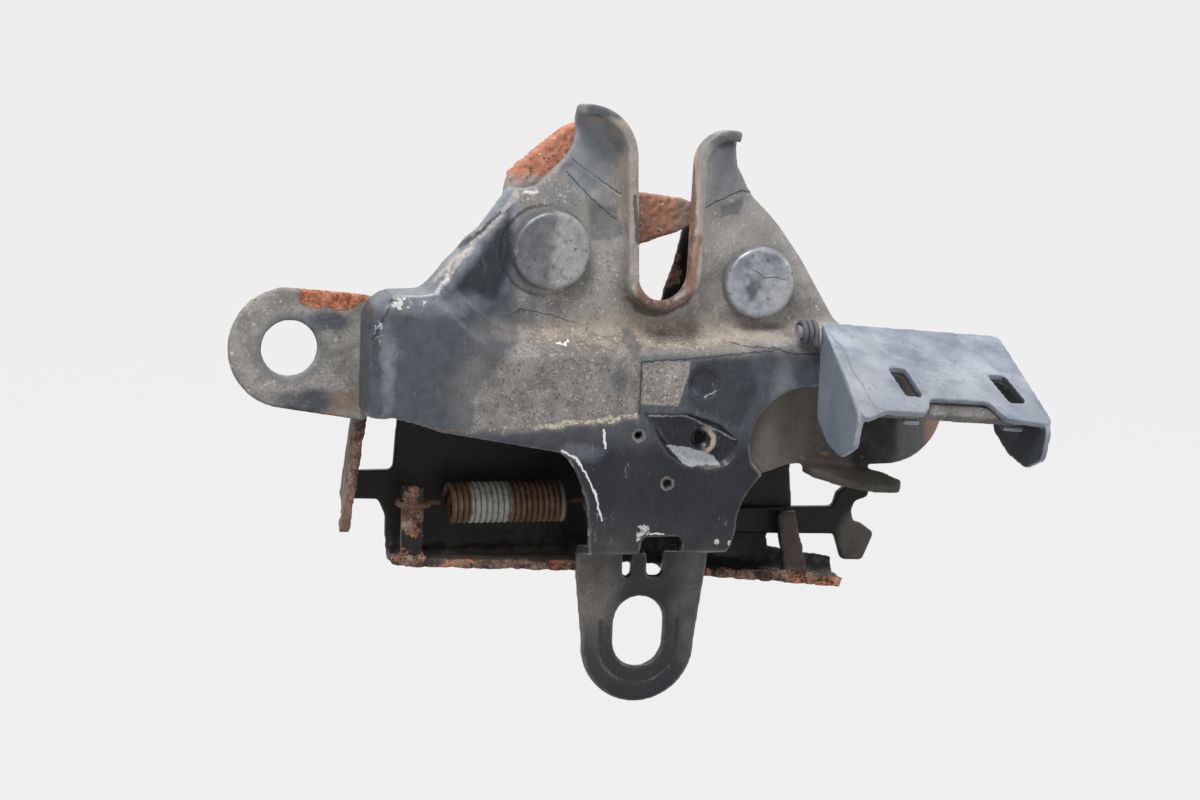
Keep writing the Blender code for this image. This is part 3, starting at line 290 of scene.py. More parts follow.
def new_group(title, takes, gives):
    """An empty node group with its named sockets. Gives its tree, its inputs and its outputs."""
    tree = bpy.data.node_groups.new(title, "ShaderNodeTree")
    for label, kind, value in takes:
        socket = tree.interface.new_socket(name=label, in_out="INPUT", socket_type=kind)
        socket.default_value = value
    for label, kind in gives:
        tree.interface.new_socket(name=label, in_out="OUTPUT", socket_type=kind)
    return tree, tree.nodes.new("NodeGroupInput").outputs, tree.nodes.new("NodeGroupOutput").inputs


def fill(tree, group, inputs):
    """Places a node group with its own values and gives its outputs."""
    made = tree.nodes.new("ShaderNodeGroup")
    made.node_tree = group
    for key, value in inputs.items():
        if isinstance(value, bpy.types.NodeSocket):
            tree.links.new(value, made.inputs[key])
        else:
            made.inputs[key].default_value = value
    return made.outputs


NUMBER = "NodeSocketFloat"
VECTOR = "NodeSocketVector"
COLOUR = "NodeSocketColor"
PLACE = ("Place", VECTOR, (0, 0, 0))
CENTRE = ("Centre", VECTOR, (0, 0, 0))
print("node helpers ready")

# %% [markdown]
# Dust, rust and chips sit at known places on the latch, so the finishes need to know where they are.
# The first group turns the surface's own coordinates back into drawing millimetres. A second output is
# pushed about by a noise, so that a stain drawn from it gets an uneven edge.

# %% Group: where on the latch
tree, takes, gives = new_group(
    "where on the latch",
    [("Warp", NUMBER, 1.5), ("Warp size", NUMBER, 5.0)],
    [("Place", VECTOR), ("Uneven place", VECTOR)],
)
own = node(tree, "ShaderNodeTexCoord").outputs["Object"]
grown = vectors(tree, "SCALE", own)
grown.node.inputs["Scale"].default_value = 1000.0
spot = vectors(tree, "ADD", grown, tuple(TAB_SEAT))
often = maths(tree, "DIVIDE", 1.0, takes["Warp size"])
swirl = node(tree, "ShaderNodeTexNoise", {"Vector": spot, "Scale": often, "Detail": 4.0}).outputs["Color"]
push = vectors(tree, "SUBTRACT", swirl, (0.5, 0.5, 0.5))
push = vectors(tree, "SCALE", push)
tree.links.new(times(tree, takes["Warp"], 3.0), push.node.inputs["Scale"])
tree.links.new(spot, gives["Place"])
tree.links.new(vectors(tree, "ADD", spot, push), gives["Uneven place"])
WHERE = tree
print("group:", WHERE.name)

# %% [markdown]
# A stain is a soft ellipsoid round a point. A stroke is a soft line between two points, as seen from
# the front, and serves for scratches, fine cracks, painted highlights along edges and painted shade in
# creases. A ring is a soft circle, and a patch is a flat shape with straight sides. All could be
# painted by hand, but a painted picture would tie the finish to one mesh, while these work on any
# piece that lies there.

# %% Groups: stain, stroke and ring
tree, takes, gives = new_group(
    "stain",
    [PLACE, CENTRE, ("Reach", VECTOR, (5, 5, 5)), ("Softness", NUMBER, 0.5)],
    [("Mask", NUMBER)],
)
away = vectors(tree, "SUBTRACT", takes["Place"], takes["Centre"])
share = vectors(tree, "DIVIDE", away, takes["Reach"])
size = vectors(tree, "LENGTH", share, answer="Value")
inner = maths(tree, "SUBTRACT", 1.0, takes["Softness"])
outer = maths(tree, "ADD", 1.0, takes["Softness"])
tree.links.new(fade(tree, size, inner, outer, 1.0, 0.0), gives["Mask"])
STAIN = tree

tree, takes, gives = new_group(
    "stroke",
    [PLACE, ("From", VECTOR, (0, 0, 0)), ("To", VECTOR, (1, 0, 0)), ("Width", NUMBER, 0.3)],
    [("Mask", NUMBER)],
)
flat = vectors(tree, "MULTIPLY", takes["Place"], (1.0, 0.0, 1.0))
run = vectors(tree, "SUBTRACT", takes["To"], takes["From"])
lead = vectors(tree, "SUBTRACT", flat, takes["From"])
length = vectors(tree, "DOT_PRODUCT", run, run, "Value")
along = maths(tree, "DIVIDE", vectors(tree, "DOT_PRODUCT", lead, run, "Value"), length)
along = node(tree, "ShaderNodeClamp", {"Value": along}).outputs[0]
nearest = vectors(tree, "SCALE", run)
tree.links.new(along, nearest.node.inputs["Scale"])
gap = vectors(tree, "LENGTH", vectors(tree, "SUBTRACT", lead, nearest), answer="Value")
tree.links.new(fade(tree, gap, times(tree, takes["Width"], 0.35), takes["Width"], 1.0, 0.0), gives["Mask"])
STROKE = tree

tree, takes, gives = new_group(
    "ring",
    [PLACE, CENTRE, ("Radius", NUMBER, 5.0), ("Width", NUMBER, 0.3)],
    [("Mask", NUMBER)],
)
away = vectors(tree, "MULTIPLY", vectors(tree, "SUBTRACT", takes["Place"], takes["Centre"]), (1.0, 0.0, 1.0))
gap = maths(tree, "SUBTRACT", vectors(tree, "LENGTH", away, answer="Value"), takes["Radius"])
gap = maths(tree, "ABSOLUTE", gap)
tree.links.new(fade(tree, gap, times(tree, takes["Width"], 0.3), takes["Width"], 1.0, 0.0), gives["Mask"])
RING = tree


def stains(tree, spot, spots, start=0.0):
    """The strongest of several stains: each is a centre, its three radii, its softness and its strength."""
    total = start
    for centre, reach, soft, strength in spots:
        mask = fill(tree, STAIN, {"Place": spot, "Centre": centre, "Reach": reach, "Softness": soft})["Mask"]
        total = maths(tree, "MAXIMUM", total, times(tree, mask, strength))
    return total


def strokes(tree, spot, lines):
    """The strongest of several strokes: each is a list of (x, z) points and a width."""
    total = 0.0
    for points, width in lines:
        for (x1, z1), (x2, z2) in zip(points, points[1:]):
            values = {"Place": spot, "From": (x1, 0, z1), "To": (x2, 0, z2), "Width": width}
            total = maths(tree, "MAXIMUM", total, fill(tree, STROKE, values)["Mask"])
    return total


def circle(tree, spot, x, z, radius, width):
    """A soft circle round a point, as seen from the front."""
    values = {"Place": spot, "Centre": (x, 0, z), "Radius": radius, "Width": width}
    return fill(tree, RING, values)["Mask"]


def patches(tree, spot, shapes, start=0.0):
    """The strongest of several patches: each has its corners (x, z) clockwise, its softness and strength."""
    total = start
    for corners, soft, strength in shapes:
        depth = None
        for (x1, z1), (x2, z2) in zip(corners, corners[1:] + corners[:1]):
            length = math.hypot(x2 - x1, z2 - z1)
            inwards = ((z2 - z1) / length, 0.0, (x1 - x2) / length)
            start_at = x1 * inwards[0] + z1 * inwards[2]
            side = maths(tree, "SUBTRACT", vectors(tree, "DOT_PRODUCT", spot, inwards, "Value"), start_at)
            depth = side if depth is None else maths(tree, "MINIMUM", depth, side)
        total = maths(tree, "MAXIMUM", total, fade(tree, depth, -soft, soft, 0.0, strength))
    return total


print("groups:", STAIN.name, STROKE.name, RING.name)

# %% [markdown]
# Paint wears off along edges, and dirt gathers in corners. The Geometry node's Pointiness tells both
# on a fine mesh: it is above a half on an edge and below it in a corner. A noise breaks the masks up,
# because no edge wears evenly.

# %% Group: edges and corners
tree, takes, gives = new_group(
    "edges and corners",
    [PLACE, ("Wear", NUMBER, 0.5), ("Patch size", NUMBER, 3.0)],
    [("Edge", NUMBER), ("Corner", NUMBER)],
)
point = node(tree, "ShaderNodeNewGeometry").outputs["Pointiness"]
patchy = cloud(tree, takes["Place"], 0.5)
tree.links.new(maths(tree, "DIVIDE", 1.0, takes["Patch size"]), patchy.node.inputs["Scale"])
lift = times(tree, maths(tree, "SUBTRACT", patchy, 0.5), 0.06)
edge = fade(tree, maths(tree, "ADD", point, lift), 0.515, 0.56)
corner = fade(tree, maths(tree, "SUBTRACT", point, lift), 0.485, 0.44)
tree.links.new(times(tree, edge, takes["Wear"]), gives["Edge"])
tree.links.new(corner, gives["Corner"])
EDGES = tree
print("group:", EDGES.name)

# %% [markdown]
# Sand grains are specks of many sizes, some pale and some dark. Plain noise would give an even
# sparkle. A cell pattern is better: each cell has its own random number, so only some cells hold a
# grain, and because the surface cuts the cells at any depth, the grains differ in size.

# %% Group: sand grains
tree, takes, gives = new_group(
    "sand grains",
    [PLACE, ("Density", NUMBER, 0.4), ("Size", NUMBER, 0.7)],
    [("Bright", NUMBER), ("Dark", NUMBER)],
)
wobble_in = {"Vector": takes["Place"], "Scale": 2.4, "Detail": 2.0}
wobble = node(tree, "ShaderNodeTexNoise", wobble_in).outputs["Color"]
wobble = vectors(tree, "MULTIPLY", vectors(tree, "SUBTRACT", wobble, (0.5, 0.5, 0.5)), (0.8, 0.8, 0.8))
pushed = vectors(tree, "ADD", takes["Place"], wobble)
often = maths(tree, "DIVIDE", 1.0, takes["Size"])
cells = node(tree, "ShaderNodeTexVoronoi", {"Vector": pushed, "Scale": often})
chance = node(tree, "ShaderNodeSeparateColor", {"Color": cells.outputs["Color"]}).outputs
grain = fade(tree, cells.outputs["Distance"], 0.52, 0.26)
less = maths(tree, "SUBTRACT", takes["Density"], 0.06)
tree.links.new(times(tree, grain, fade(tree, chance["Red"], takes["Density"], less)), gives["Bright"])
tree.links.new(times(tree, grain, fade(tree, chance["Green"], takes["Density"], less)), gives["Dark"])
GRAINS = tree
print("group:", GRAINS.name)

# %% [markdown]
# Road dust on old paint is not one even layer: it is a thin grey film with grains of sand stuck in it.
# The group puts out the film's colour, a mask that is broken up by clouds, and a height for the grains,
# so that a sandy patch also catches the light.

# %% Group: road dust
tree, takes, gives = new_group(
    "road dust",
    [PLACE, ("Amount", NUMBER, 0.5), ("Sand", NUMBER, 0.3), ("Tan", NUMBER, 0.3)],
    [("Color", COLOUR), ("Mask", NUMBER), ("Height", NUMBER)],
)
broad = cloud(tree, takes["Place"], 0.17, 5.0, 0.62)
clumps = cloud(tree, takes["Place"], 0.5, 4.0, 0.65)
fine = cloud(tree, takes["Place"], 1.6, 4.0, 0.7)
film = times(tree, fade(tree, broad, 0.25, 0.62, 0.6, 1.12), takes["Amount"])
film = times(tree, film, fade(tree, fine, 0.25, 0.7, 0.8, 1.2))
density = times(tree, takes["Sand"], fade(tree, clumps, 0.35, 0.65, 0.12, 0.62))
large = fill(tree, GRAINS, {"Place": takes["Place"], "Density": times(tree, density, 0.55), "Size": 0.95})
small = fill(tree, GRAINS, {"Place": takes["Place"], "Density": density, "Size": 0.5})
bright = highest(tree, large["Bright"], small["Bright"])
dark = highest(tree, large["Dark"], small["Dark"])
cool = over(tree, fade(tree, broad, 0.35, 0.65), (0.205, 0.20, 0.195, 1), (0.27, 0.265, 0.26, 1))
warm = over(tree, fade(tree, broad, 0.35, 0.65), (0.24, 0.195, 0.155, 1), (0.34, 0.29, 0.24, 1))
tone = over(tree, takes["Tan"], cool, warm)
tone = over(tree, fade(tree, fine, 0.52, 0.32, 0.0, 0.4), tone, (0.12, 0.105, 0.092, 1))
tone = over(tree, times(tree, bright, 0.75), tone, (0.56, 0.51, 0.44, 1))
tone = over(tree, times(tree, dark, 0.7), tone, (0.085, 0.07, 0.058, 1))
tree.links.new(tone, gives["Color"])
tree.links.new(node(tree, "ShaderNodeClamp", {"Value": film}).outputs[0], gives["Mask"])
tree.links.new(maths(tree, "ADD", times(tree, bright, 0.6), times(tree, fine, 0.5)), gives["Height"])
DUST = tree
print("group:", DUST.name)

# %% [markdown]
# Rust runs from dark brown scabs to bright orange powder, with pits between. Two colour ramps follow
# the same noise, a brown and an orange one, and a broad noise chooses between them. The mask gets a
# hard, ragged edge, because rust creeps under paint and lifts it.

# %% Group: rust
tree, takes, gives = new_group(
    "rust",
    [PLACE, ("Amount", NUMBER, 0.5), ("Orange", NUMBER, 0.4)],
    [("Color", COLOUR), ("Mask", NUMBER), ("Height", NUMBER)],
)
broad = cloud(tree, takes["Place"], 0.28, 5.0, 0.62, 0.3)
fine = cloud(tree, takes["Place"], 1.6, 4.0, 0.68)
tone = maths(tree, "ADD", times(tree, broad, 0.55), times(tree, fine, 0.45))


def colours_along(tree, value, stops):
    """A colour ramp through the given positions and colours."""
    ramp = node(tree, "ShaderNodeValToRGB", {"Fac": value})
    kept = ramp.color_ramp.elements
    kept[0].position = stops[0][0]
    kept[0].color = (*stops[0][1], 1)
    kept[1].position = stops[-1][0]
    kept[1].color = (*stops[-1][1], 1)
    for position, colour in stops[1:-1]:
        kept.new(position).color = (*colour, 1)
    return ramp.outputs["Color"]


brown = colours_along(
    tree,
    tone,
    (
        (0.35, (0.016, 0.012, 0.010)),
        (0.44, (0.060, 0.036, 0.027)),
        (0.52, (0.150, 0.092, 0.068)),
        (0.60, (0.26, 0.175, 0.135)),
        (0.70, (0.42, 0.34, 0.28)),
    ),
)
orange = colours_along(
    tree,
    tone,
    (
        (0.33, (0.045, 0.018, 0.012)),
        (0.43, (0.18, 0.060, 0.030)),
        (0.53, (0.38, 0.145, 0.080)),
        (0.68, (0.58, 0.34, 0.25)),
    ),
)
more_orange = maths(tree, "SUBTRACT", takes["Orange"], 0.5)
chosen = maths(tree, "ADD", cloud(tree, takes["Place"], 0.2, 3.0), more_orange)
tree.links.new(over(tree, fade(tree, chosen, 0.46, 0.58), brown, orange), gives["Color"])
ragged = maths(tree, "ADD", takes["Amount"], times(tree, maths(tree, "SUBTRACT", broad, 0.5), 0.9))
ragged = maths(tree, "ADD", ragged, times(tree, maths(tree, "SUBTRACT", fine, 0.5), 0.5))
tree.links.new(fade(tree, ragged, 0.44, 0.56), gives["Mask"])
tree.links.new(maths(tree, "ADD", fine, broad), gives["Height"])
RUST = tree
print("group:", RUST.name)

# %% [markdown]
# Thin scuffs cover every old painted part. A noise that is stretched along one direction and cut off
# near its top leaves thin short lines. Flaked paint is a noise that is cut off sharply, so that chips
# get hard edges.

# %% Groups: scuffs and flakes
tree, takes, gives = new_group(
    "scuffs",
    [PLACE, ("Stretch", VECTOR, (2.2, 2.2, 0.12)), ("Amount", NUMBER, 0.3)],
    [("Mask", NUMBER)],
)
drawn = vectors(tree, "MULTIPLY", takes["Place"], takes["Stretch"])
lines = cloud(tree, drawn, 1.0, 3.0, 0.6, 0.25)
where_worn = fade(tree, cloud(tree, takes["Place"], 0.12, 2.0), 0.40, 0.65)
mask = times(tree, fade(tree, lines, 0.60, 0.70), where_worn)
tree.links.new(times(tree, mask, takes["Amount"]), gives["Mask"])
SCUFFS = tree

tree, takes, gives = new_group(
    "flakes",
    [PLACE, ("Amount", NUMBER, 0.5), ("Size", NUMBER, 2.0)],
    [("Mask", NUMBER)],
)
crumbs = cloud(tree, takes["Place"], 1.0, 5.0, 0.7, 0.4)
tree.links.new(maths(tree, "DIVIDE", 1.0, takes["Size"]), crumbs.node.inputs["Scale"])
level = maths(tree, "ADD", crumbs, maths(tree, "SUBTRACT", takes["Amount"], 0.5))
tree.links.new(fade(tree, level, 0.52, 0.57), gives["Mask"])
FLAKES = tree
print("groups:", SCUFFS.name, "and", FLAKES.name)

# %% [markdown]
# Every finish starts the same way: a material with its Principled shader, and the two places. And every
# finish ends the same way: colour, roughness, and a bump for the smallest relief. These two helpers do
# both ends, so that the cells below hold only what is special about each finish.

# %% Start and end of a finish


def new_finish(title, warp=1.5, warp_size=5.0):
    """A new material. Gives it, its node tree, its shader, the place and the uneven place."""
    finish = bpy.data.materials.new(title)
    finish.use_nodes = True
    tree = finish.node_tree
    spots = fill(tree, WHERE, {"Warp": warp, "Warp size": warp_size})
    return finish, tree, tree.nodes["Principled BSDF"], spots["Place"], spots["Uneven place"]


def end_finish(tree, shader, colour, rough, height=None, relief=0.05):
    """Links colour, roughness and relief. Relief is the height of the bumps in millimetres."""
    tree.links.new(colour, shader.inputs["Base Color"])
    tree.links.new(rough, shader.inputs["Roughness"])
    if height is not None:
        bump = node(tree, "ShaderNodeBump", {"Height": height, "Strength": 1.0, "Distance": relief * MM})
        tree.links.new(bump.outputs[0], shader.inputs["Normal"])


ANY = 1000.0
print("finish helpers ready")

# %% [markdown]
# The front plate is black paint with a blue cast under years of dust. The dust lies thickest on the
# slope under the rivets and round the slot, and sand sticks to the middle. The horns and the upper
# parts carry a painted blue sheen, which stands for a bright sky reflected in the paint, and the
# column, the teardrop and the round dimple kept their dark paint. Each of these areas is a stain or a
# patch at its measured place.

# %% Places on the front plate
HORN_BLUE = (
    ([(-20.5, 62), (-12.9, 60), (-12.2, 50), (-13.6, 44), (-17, 44), (-22.5, 50)], 1.0, 0.9),
    ([(9.2, 57), (17, 57), (19.2, 50.5), (17.4, 46.0), (9.8, 42.4)], 0.8, 0.85),
)
SEAT = [(-3.2, -47.4), (6.9, -47.4), (10.9, -51.4), (11.4, -57.5), (11.0, -63.0), (7.2, -68.2)]
SEAT += [(-3.4, -68.2), (-7.2, -63.0), (-7.6, -57.5), (-7.2, -51.4)]
DARK = (
    ([(-33.5, 42), (-33.4, 28), (-36.5, 21.8), (-46, 23.2), (-41.6, 30.1)], 1.2, 0.88),
    ([(-17.6, 44.4), (-9.4, 42.4), (-8.8, 37.5), (-11.5, 34), (-15.6, 35.0)], 0.8, 0.62),
    ([(14.2, 43.4), (19.2, 44.8), (19.0, 41.6), (15.0, 40.8)], 0.5, 0.6),
    ([(7.2, 8.2), (13, 9.0), (20, 9.6), (23, 4), (19, -7), (9, -2.4), (6.6, 0.5)], 0.9, 0.55),
)
DARK_LIPS = (
    ((-13, 2, 64.6), (8, ANY, 2.8), 0.35, 0.85),
    ((14, 2, 59.2), (7.5, ANY, 2.8), 0.35, 0.80),
    ((1.9, 14, -70), (14, ANY, 5.5), 0.4, 0.70),
)
TEARDROP = [(-3.0, -3.1), (7.2, -3.3), (14.6, -5.7), (19.2, -9.8)]
TEARDROP += [(16.8, -15.2), (12.6, -16.3), (6.8, -15.3), (2.7, -12.4)]
RESIDUE = [(2.2, -10.6), (7.6, -11.2), (13.8, -13.2), (15.2, -15.4), (12.6, -16.1), (6.8, -15.2)]
DIMPLE = (((10.2, 0, 3.9), (3.4, ANY, 3.4), 0.12, 0.75),)
SAND_FIELD = [(-31.9, 12.4), (-24, 16), (-8, 15), (-5.0, 8), (-5.0, -4.0)]
SAND_FIELD += [(-14.5, -5.4), (-27, -6.9), (-43.2, -6.9), (-43.4, 0.5), (-39, 7.2)]
SAND_PATCH = [(-4.5, 4.1), (-4.4, 8.0), (-0.4, 8.9), (6.5, 8.6), (6.7, 6.0), (4.2, -1.5), (-4.3, -1.0)]
TAN = (
    ((-8.8, 4, 48), (1.6, ANY, 13), 0.5, 0.9),
    ((-12, 2, 61.5), (6, ANY, 1.8), 0.5, 0.9),
    ((8.2, 4, 40), (1.8, ANY, 18), 0.6, 0.7),
    ((0, 4, 14.5), (34, ANY, 4.0), 0.6, 1.0),
    ((-6, 4, 27), (4, ANY, 8), 0.6, 0.7),
    ((-9, 14, -48), (8, ANY, 9), 0.6, 0.6),
)
SANDY = (
    ((-25, 4, 45), (7, ANY, 2.6), 0.5, 0.75),
    ((-16, 2, 26), (8, ANY, 7), 0.5, 0.7),
    ((13, 6, 28), (7, ANY, 10), 0.6, 0.75),
    ((3, 4, 12.5), (9, ANY, 2.4), 0.5, 1.0),
    ((24.6, 0, -12.5), (2.6, ANY, 3.4), 0.5, 0.9),
    ((-8.5, 0, 1), (4.5, ANY, 7), 0.5, 1.0),
)
# Painted sheen: places where the paint shows a blue grey reflection of sky light, with painted highlights on
# the box's left bend and along its top edge.
PAINTED_SHEEN_SPOTS = (
    ((29, 0, 1), (3.6, ANY, 9), 0.6, 0.62),
    ((-18, 0, -11.6), (5, ANY, 2.2), 0.6, 0.35),
    ((-62.0, 0, 7), (2.0, ANY, 11), 0.8, 0.60),
    ((-52, 4, 20.5), (16, ANY, 2.6), 0.7, 0.5),
)
THICK_DUST = (
    ((0, 4, 14.5), (33, ANY, 4.5), 0.5, 0.95),
    ((-41, 2, 2), (6, ANY, 9), 0.6, 0.35),
)
TOP_DUST = (
    ((24.6, 0, -13), (2.6, ANY, 3.4), 0.5, 0.8),
    ((-8.8, 4, 48), (1.5, ANY, 13), 0.5, 0.9),
    ((-9.5, 14, -47), (6, ANY, 11), 0.6, 0.50),
    ((14, 14, -50), (4, ANY, 13), 0.6, 0.36),
)
LIGHTER = (
    ((15, 6, 29), (9, ANY, 13), 0.6, 0.34),
    ((-15, 4, 30), (6, ANY, 12), 0.6, 0.22),
)
SHADED = (
    ((-24, 0, 2), (24, ANY, 13), 0.5, 0.30),
    ((-9, 14, -50), (30, ANY, 24), 0.3, 0.35),
)
LESS_DUST = (
    ((-6.2, 0, 12.2), (1.7, ANY, 2.6), 0.4, 0.65),
    ((-9.6, 0, 5.0), (1.7, ANY, 3.2), 0.5, 0.6),
    ((-30.5, 2, 19.5), (4.0, ANY, 2.6), 0.5, 0.5),
    ((12, 6, 20.5), (2, ANY, 1.6), 0.5, 0.4),
)
WHITE_LINES = (
    ([(-22.3, -11.4), (-19.0, -13.2), (-16.6, -16.5)], 0.36),
    ([(-16.6, -16.5), (-14.2, -21.2), (-12.3, -27.6)], 0.30),
    ([(-12.8, -6.8), (-12.3, -11.0)], 0.42),
    ([(-23.6, 12.2), (-21.6, 12.0), (-20.6, 12.7)], 0.28),
    ([(-30.8, 45.2), (-28.2, 45.2)], 0.55),
    ([(-0.8, -30.8), (2.4, -31.0)], 0.26),
)
# Painted highlights: thin light lines where sheet edges and the dimple's rim catch the light.
RIM_LIGHT = (
    ([(-20.2, -13.8), (-17.0, -21.2), (-15.1, -31.0)], 0.30),
    ([(13.2, 2.0), (10.6, 0.4)], 0.24),
    ([(-2.4, -3.7), (6.6, -3.9), (18.4, -9.4)], 0.30),
    ([(-6.6, 45.0), (-5.9, 35.4)], 0.24),
    ([(-19.6, 52.0), (-9.8, 44.9)], 0.20),
)
# Dark lines: a few real cracks, and painted shade along the shelf step, the folds and the outlines of the
# pressed channels.
DARK_LINES = (
    ([(-32.9, 18.0), (-31.0, 19.1), (-24.0, 18.0), (-18.4, 16.0)], 0.20),
    ([(16.6, 12.7), (20.4, 11.8), (28.1, 11.5)], 0.20),
    ([(-4.7, 8.4), (-4.7, -3.2)], 0.34),
    ([(-4.4, 8.6), (6.8, 9.2), (27.8, 11.2), (31, 10.2), (44, 10.6)], 0.26),
    ([(10.0, 42.1), (19.2, 46.5), (21.9, 46.1)], 0.26),
    ([(-9.8, 45.4), (-20.4, 52.6)], 0.22),
    ([(-21.6, 50.0), (-16.0, 44.4), (-10.4, 39.6)], 0.24),
    ([(-36.4, 40.6), (-44.3, 32.6), (-53.1, 26.1)], 0.5),
    ([(-60.7, 23.4), (-65.4, 13.2)], 0.30),
    ([(-8.0, 45.3), (-6.9, 35.2)], 0.75),
    ([(-3.2, -3.0), (-0.9, -8.1), (6.6, -15.7), (17.0, -15.6)], 0.5),
)
STREAK = (([(-32.4, 44.8), (-35.6, 41.0), (-39.0, 37.0), (-43.0, 32.2), (-46.2, 28.2), (-48.7, 24.9)], 1.05),)
LOW_LINE = (([(-27.5, -5.9), (-14.5, -4.6), (-7.1, -3.5), (-5.0, -3.3)], 0.9),)
DISH_SIDES = (([(-7.3, -60.3), (-7.3, -54.9)], 0.6), ([(11.1, -60.3), (11.1, -54.9)], 0.6))
FOOT_SHADE = (([(-6.2, 22.0), (-4.0, 19.9), (0.2, 18.9), (4.2, 19.9), (6.6, 22.0)], 1.7),)
FOOT_RIM = [(-5.4, 26.0), (-4.3, 22.6), (-1.2, 20.8), (2.4, 20.8), (5.4, 22.8), (6.5, 27.0), (6.5, 36.0)]
CHIPPED = (
    ((-59.3, 0, 21.3), (2.6, ANY, 1.9), 0.5, 0.58),
    ((-53.6, 0, 21.4), (4.0, ANY, 0.8), 0.5, 0.52),
    ((-64.2, 2, 15), (1.2, ANY, 4.5), 0.5, 0.5),
    ((24.9, 0, -33.4), (1.5, ANY, 1.0), 0.4, 0.52),
    ((15.1, 0, -33.0), (0.8, ANY, 0.8), 0.4, 0.6),
    ((18.3, 0, -33.4), (0.7, ANY, 0.9), 0.4, 0.6),
    ((24.6, 0, -9.5), (1.6, ANY, 2.2), 0.5, 0.5),
)
CHIPPED_CORNER = [(-4.4, -28.4), (-1.0, -28.5), (-0.7, -30.8), (-3.2, -32.4), (-4.5, -33)]
RUSTY = (
    ((6.4, 5, 38), (1.4, 5.5, 18), 0.3, 0.62),
    ((0, 5, 21.9), (8, 6, 1.4), 0.35, 0.72),
    ((-49, 0, -7), (9, 3, 1.0), 0.5, 0.46),
    ((3, 10, -43), (12, 4, 2.0), 0.5, 0.42),
)
SLOT_WALL = (((6.2, 7, 42), (1.5, 7.0, 17), 0.3, 0.9),)
print("places noted:", len(DARK_LINES) + len(WHITE_LINES) + len(RIM_LIGHT), "lines")

# %% [markdown]
# The finish is built in layers: black paint, a painted blue sheen that stands for reflected sky
# light, the dust, sharp sand patches, painted shade over the column and the lower left, painted
# highlights along edges, dark lines that are partly cracks and partly painted shade in creases and
# steps, pale chips and at last rust. Each layer's mask also feeds the roughness, because dust is dull
# and bare paint still shines.

# %% Finish: dusty black paint of the front plate
dusty_black_paint, tree, shader, spot, uneven = new_finish("dusty black paint", 1.3, 5.0)
close = fill(tree, WHERE, {"Warp": 0.35, "Warp size": 1.2})["Uneven place"]
wear = fill(tree, EDGES, {"Place": spot, "Wear": 0.8, "Patch size": 4.0})
at_x = axis_of(tree, uneven, "X")
at_z = axis_of(tree, uneven, "Z")
crumbly = cloud(tree, spot, 1.1, 4.0, 0.7)

dark = stains(tree, uneven, DARK_LIPS, patches(tree, uneven, DARK))
low_dark = patches(tree, close, ((TEARDROP, 0.15, 1.0), (SEAT, 0.5, 0.95)))
dark = highest(tree, dark, times(tree, low_dark, 0.92), stains(tree, close, DIMPLE))
blue = patches(tree, uneven, HORN_BLUE)
# Painted sheen: a blue grey reflection of sky light on the paint, growing towards the top of the plate.
painted_sheen = fade(tree, at_z, -14.0, -5.0, 0.03, 0.24)
painted_sheen = highest(tree, painted_sheen, fade(tree, at_z, 12.0, 40.0, 0.0, 0.92))
painted_sheen = times(tree, stains(tree, uneven, PAINTED_SHEEN_SPOTS, painted_sheen), rest_of(tree, dark))

field = patches(tree, uneven, ((SAND_FIELD, 1.2, 1.0),))
patch = patches(tree, close, ((SAND_PATCH, 0.22, 1.0),))
upper = times(tree, fade(tree, at_z, 8.5, 14.0, 0.0, 0.98), fade(tree, at_x, -34.0, -30.0))
film = stains(tree, uneven, THICK_DUST, highest(tree, upper, times(tree, field, 0.86)))
film = times(tree, film, rest_of(tree, blue, 0.80))
film = times(tree, film, rest_of(tree, dark))
film = times(tree, film, rest_of(tree, stains(tree, uneven, LESS_DUST)))
film = highest(tree, film, times(tree, patch, 0.95), times(tree, wear["Corner"], 0.3))
film = stains(tree, uneven, TOP_DUST, film)
sand = highest(tree, stains(tree, uneven, SANDY), times(tree, field, 0.85), patch)
sand = maths(tree, "ADD", sand, 0.18)
tan = stains(tree, uneven, TAN, 0.25)
dust = fill(tree, DUST, {"Place": spot, "Amount": film, "Sand": sand, "Tan": tan})

depth_of_blue = fade(tree, cloud(tree, spot, 0.10, 4.0, 0.6), 0.35, 0.65)
black = over(tree, depth_of_blue, (0.005, 0.006, 0.009, 1), (0.011, 0.013, 0.018, 1))
mottled = fade(tree, cloud(tree, spot, 0.35, 5.0, 0.65), 0.3, 0.7, 0.72, 1.12)
colour = over(tree, times(tree, painted_sheen, mottled), black, (0.245, 0.268, 0.302, 1))
colour = over(tree, dust["Mask"], colour, dust["Color"])
lighter = times(tree, stains(tree, uneven, LIGHTER), dust["Mask"])
colour = over(tree, lighter, colour, (0.46, 0.43, 0.395, 1))
colour = over(tree, stains(tree, uneven, SHADED), colour, (0.05, 0.045, 0.042, 1))
scuffs = fill(tree, SCUFFS, {"Place": uneven, "Stretch": (1.8, 1.8, 0.16), "Amount": 0.30})
colour = over(tree, scuffs["Mask"], colour, (0.30, 0.31, 0.32, 1))
colour = over(tree, times(tree, wear["Edge"], 0.45), colour, (0.25, 0.25, 0.255, 1))

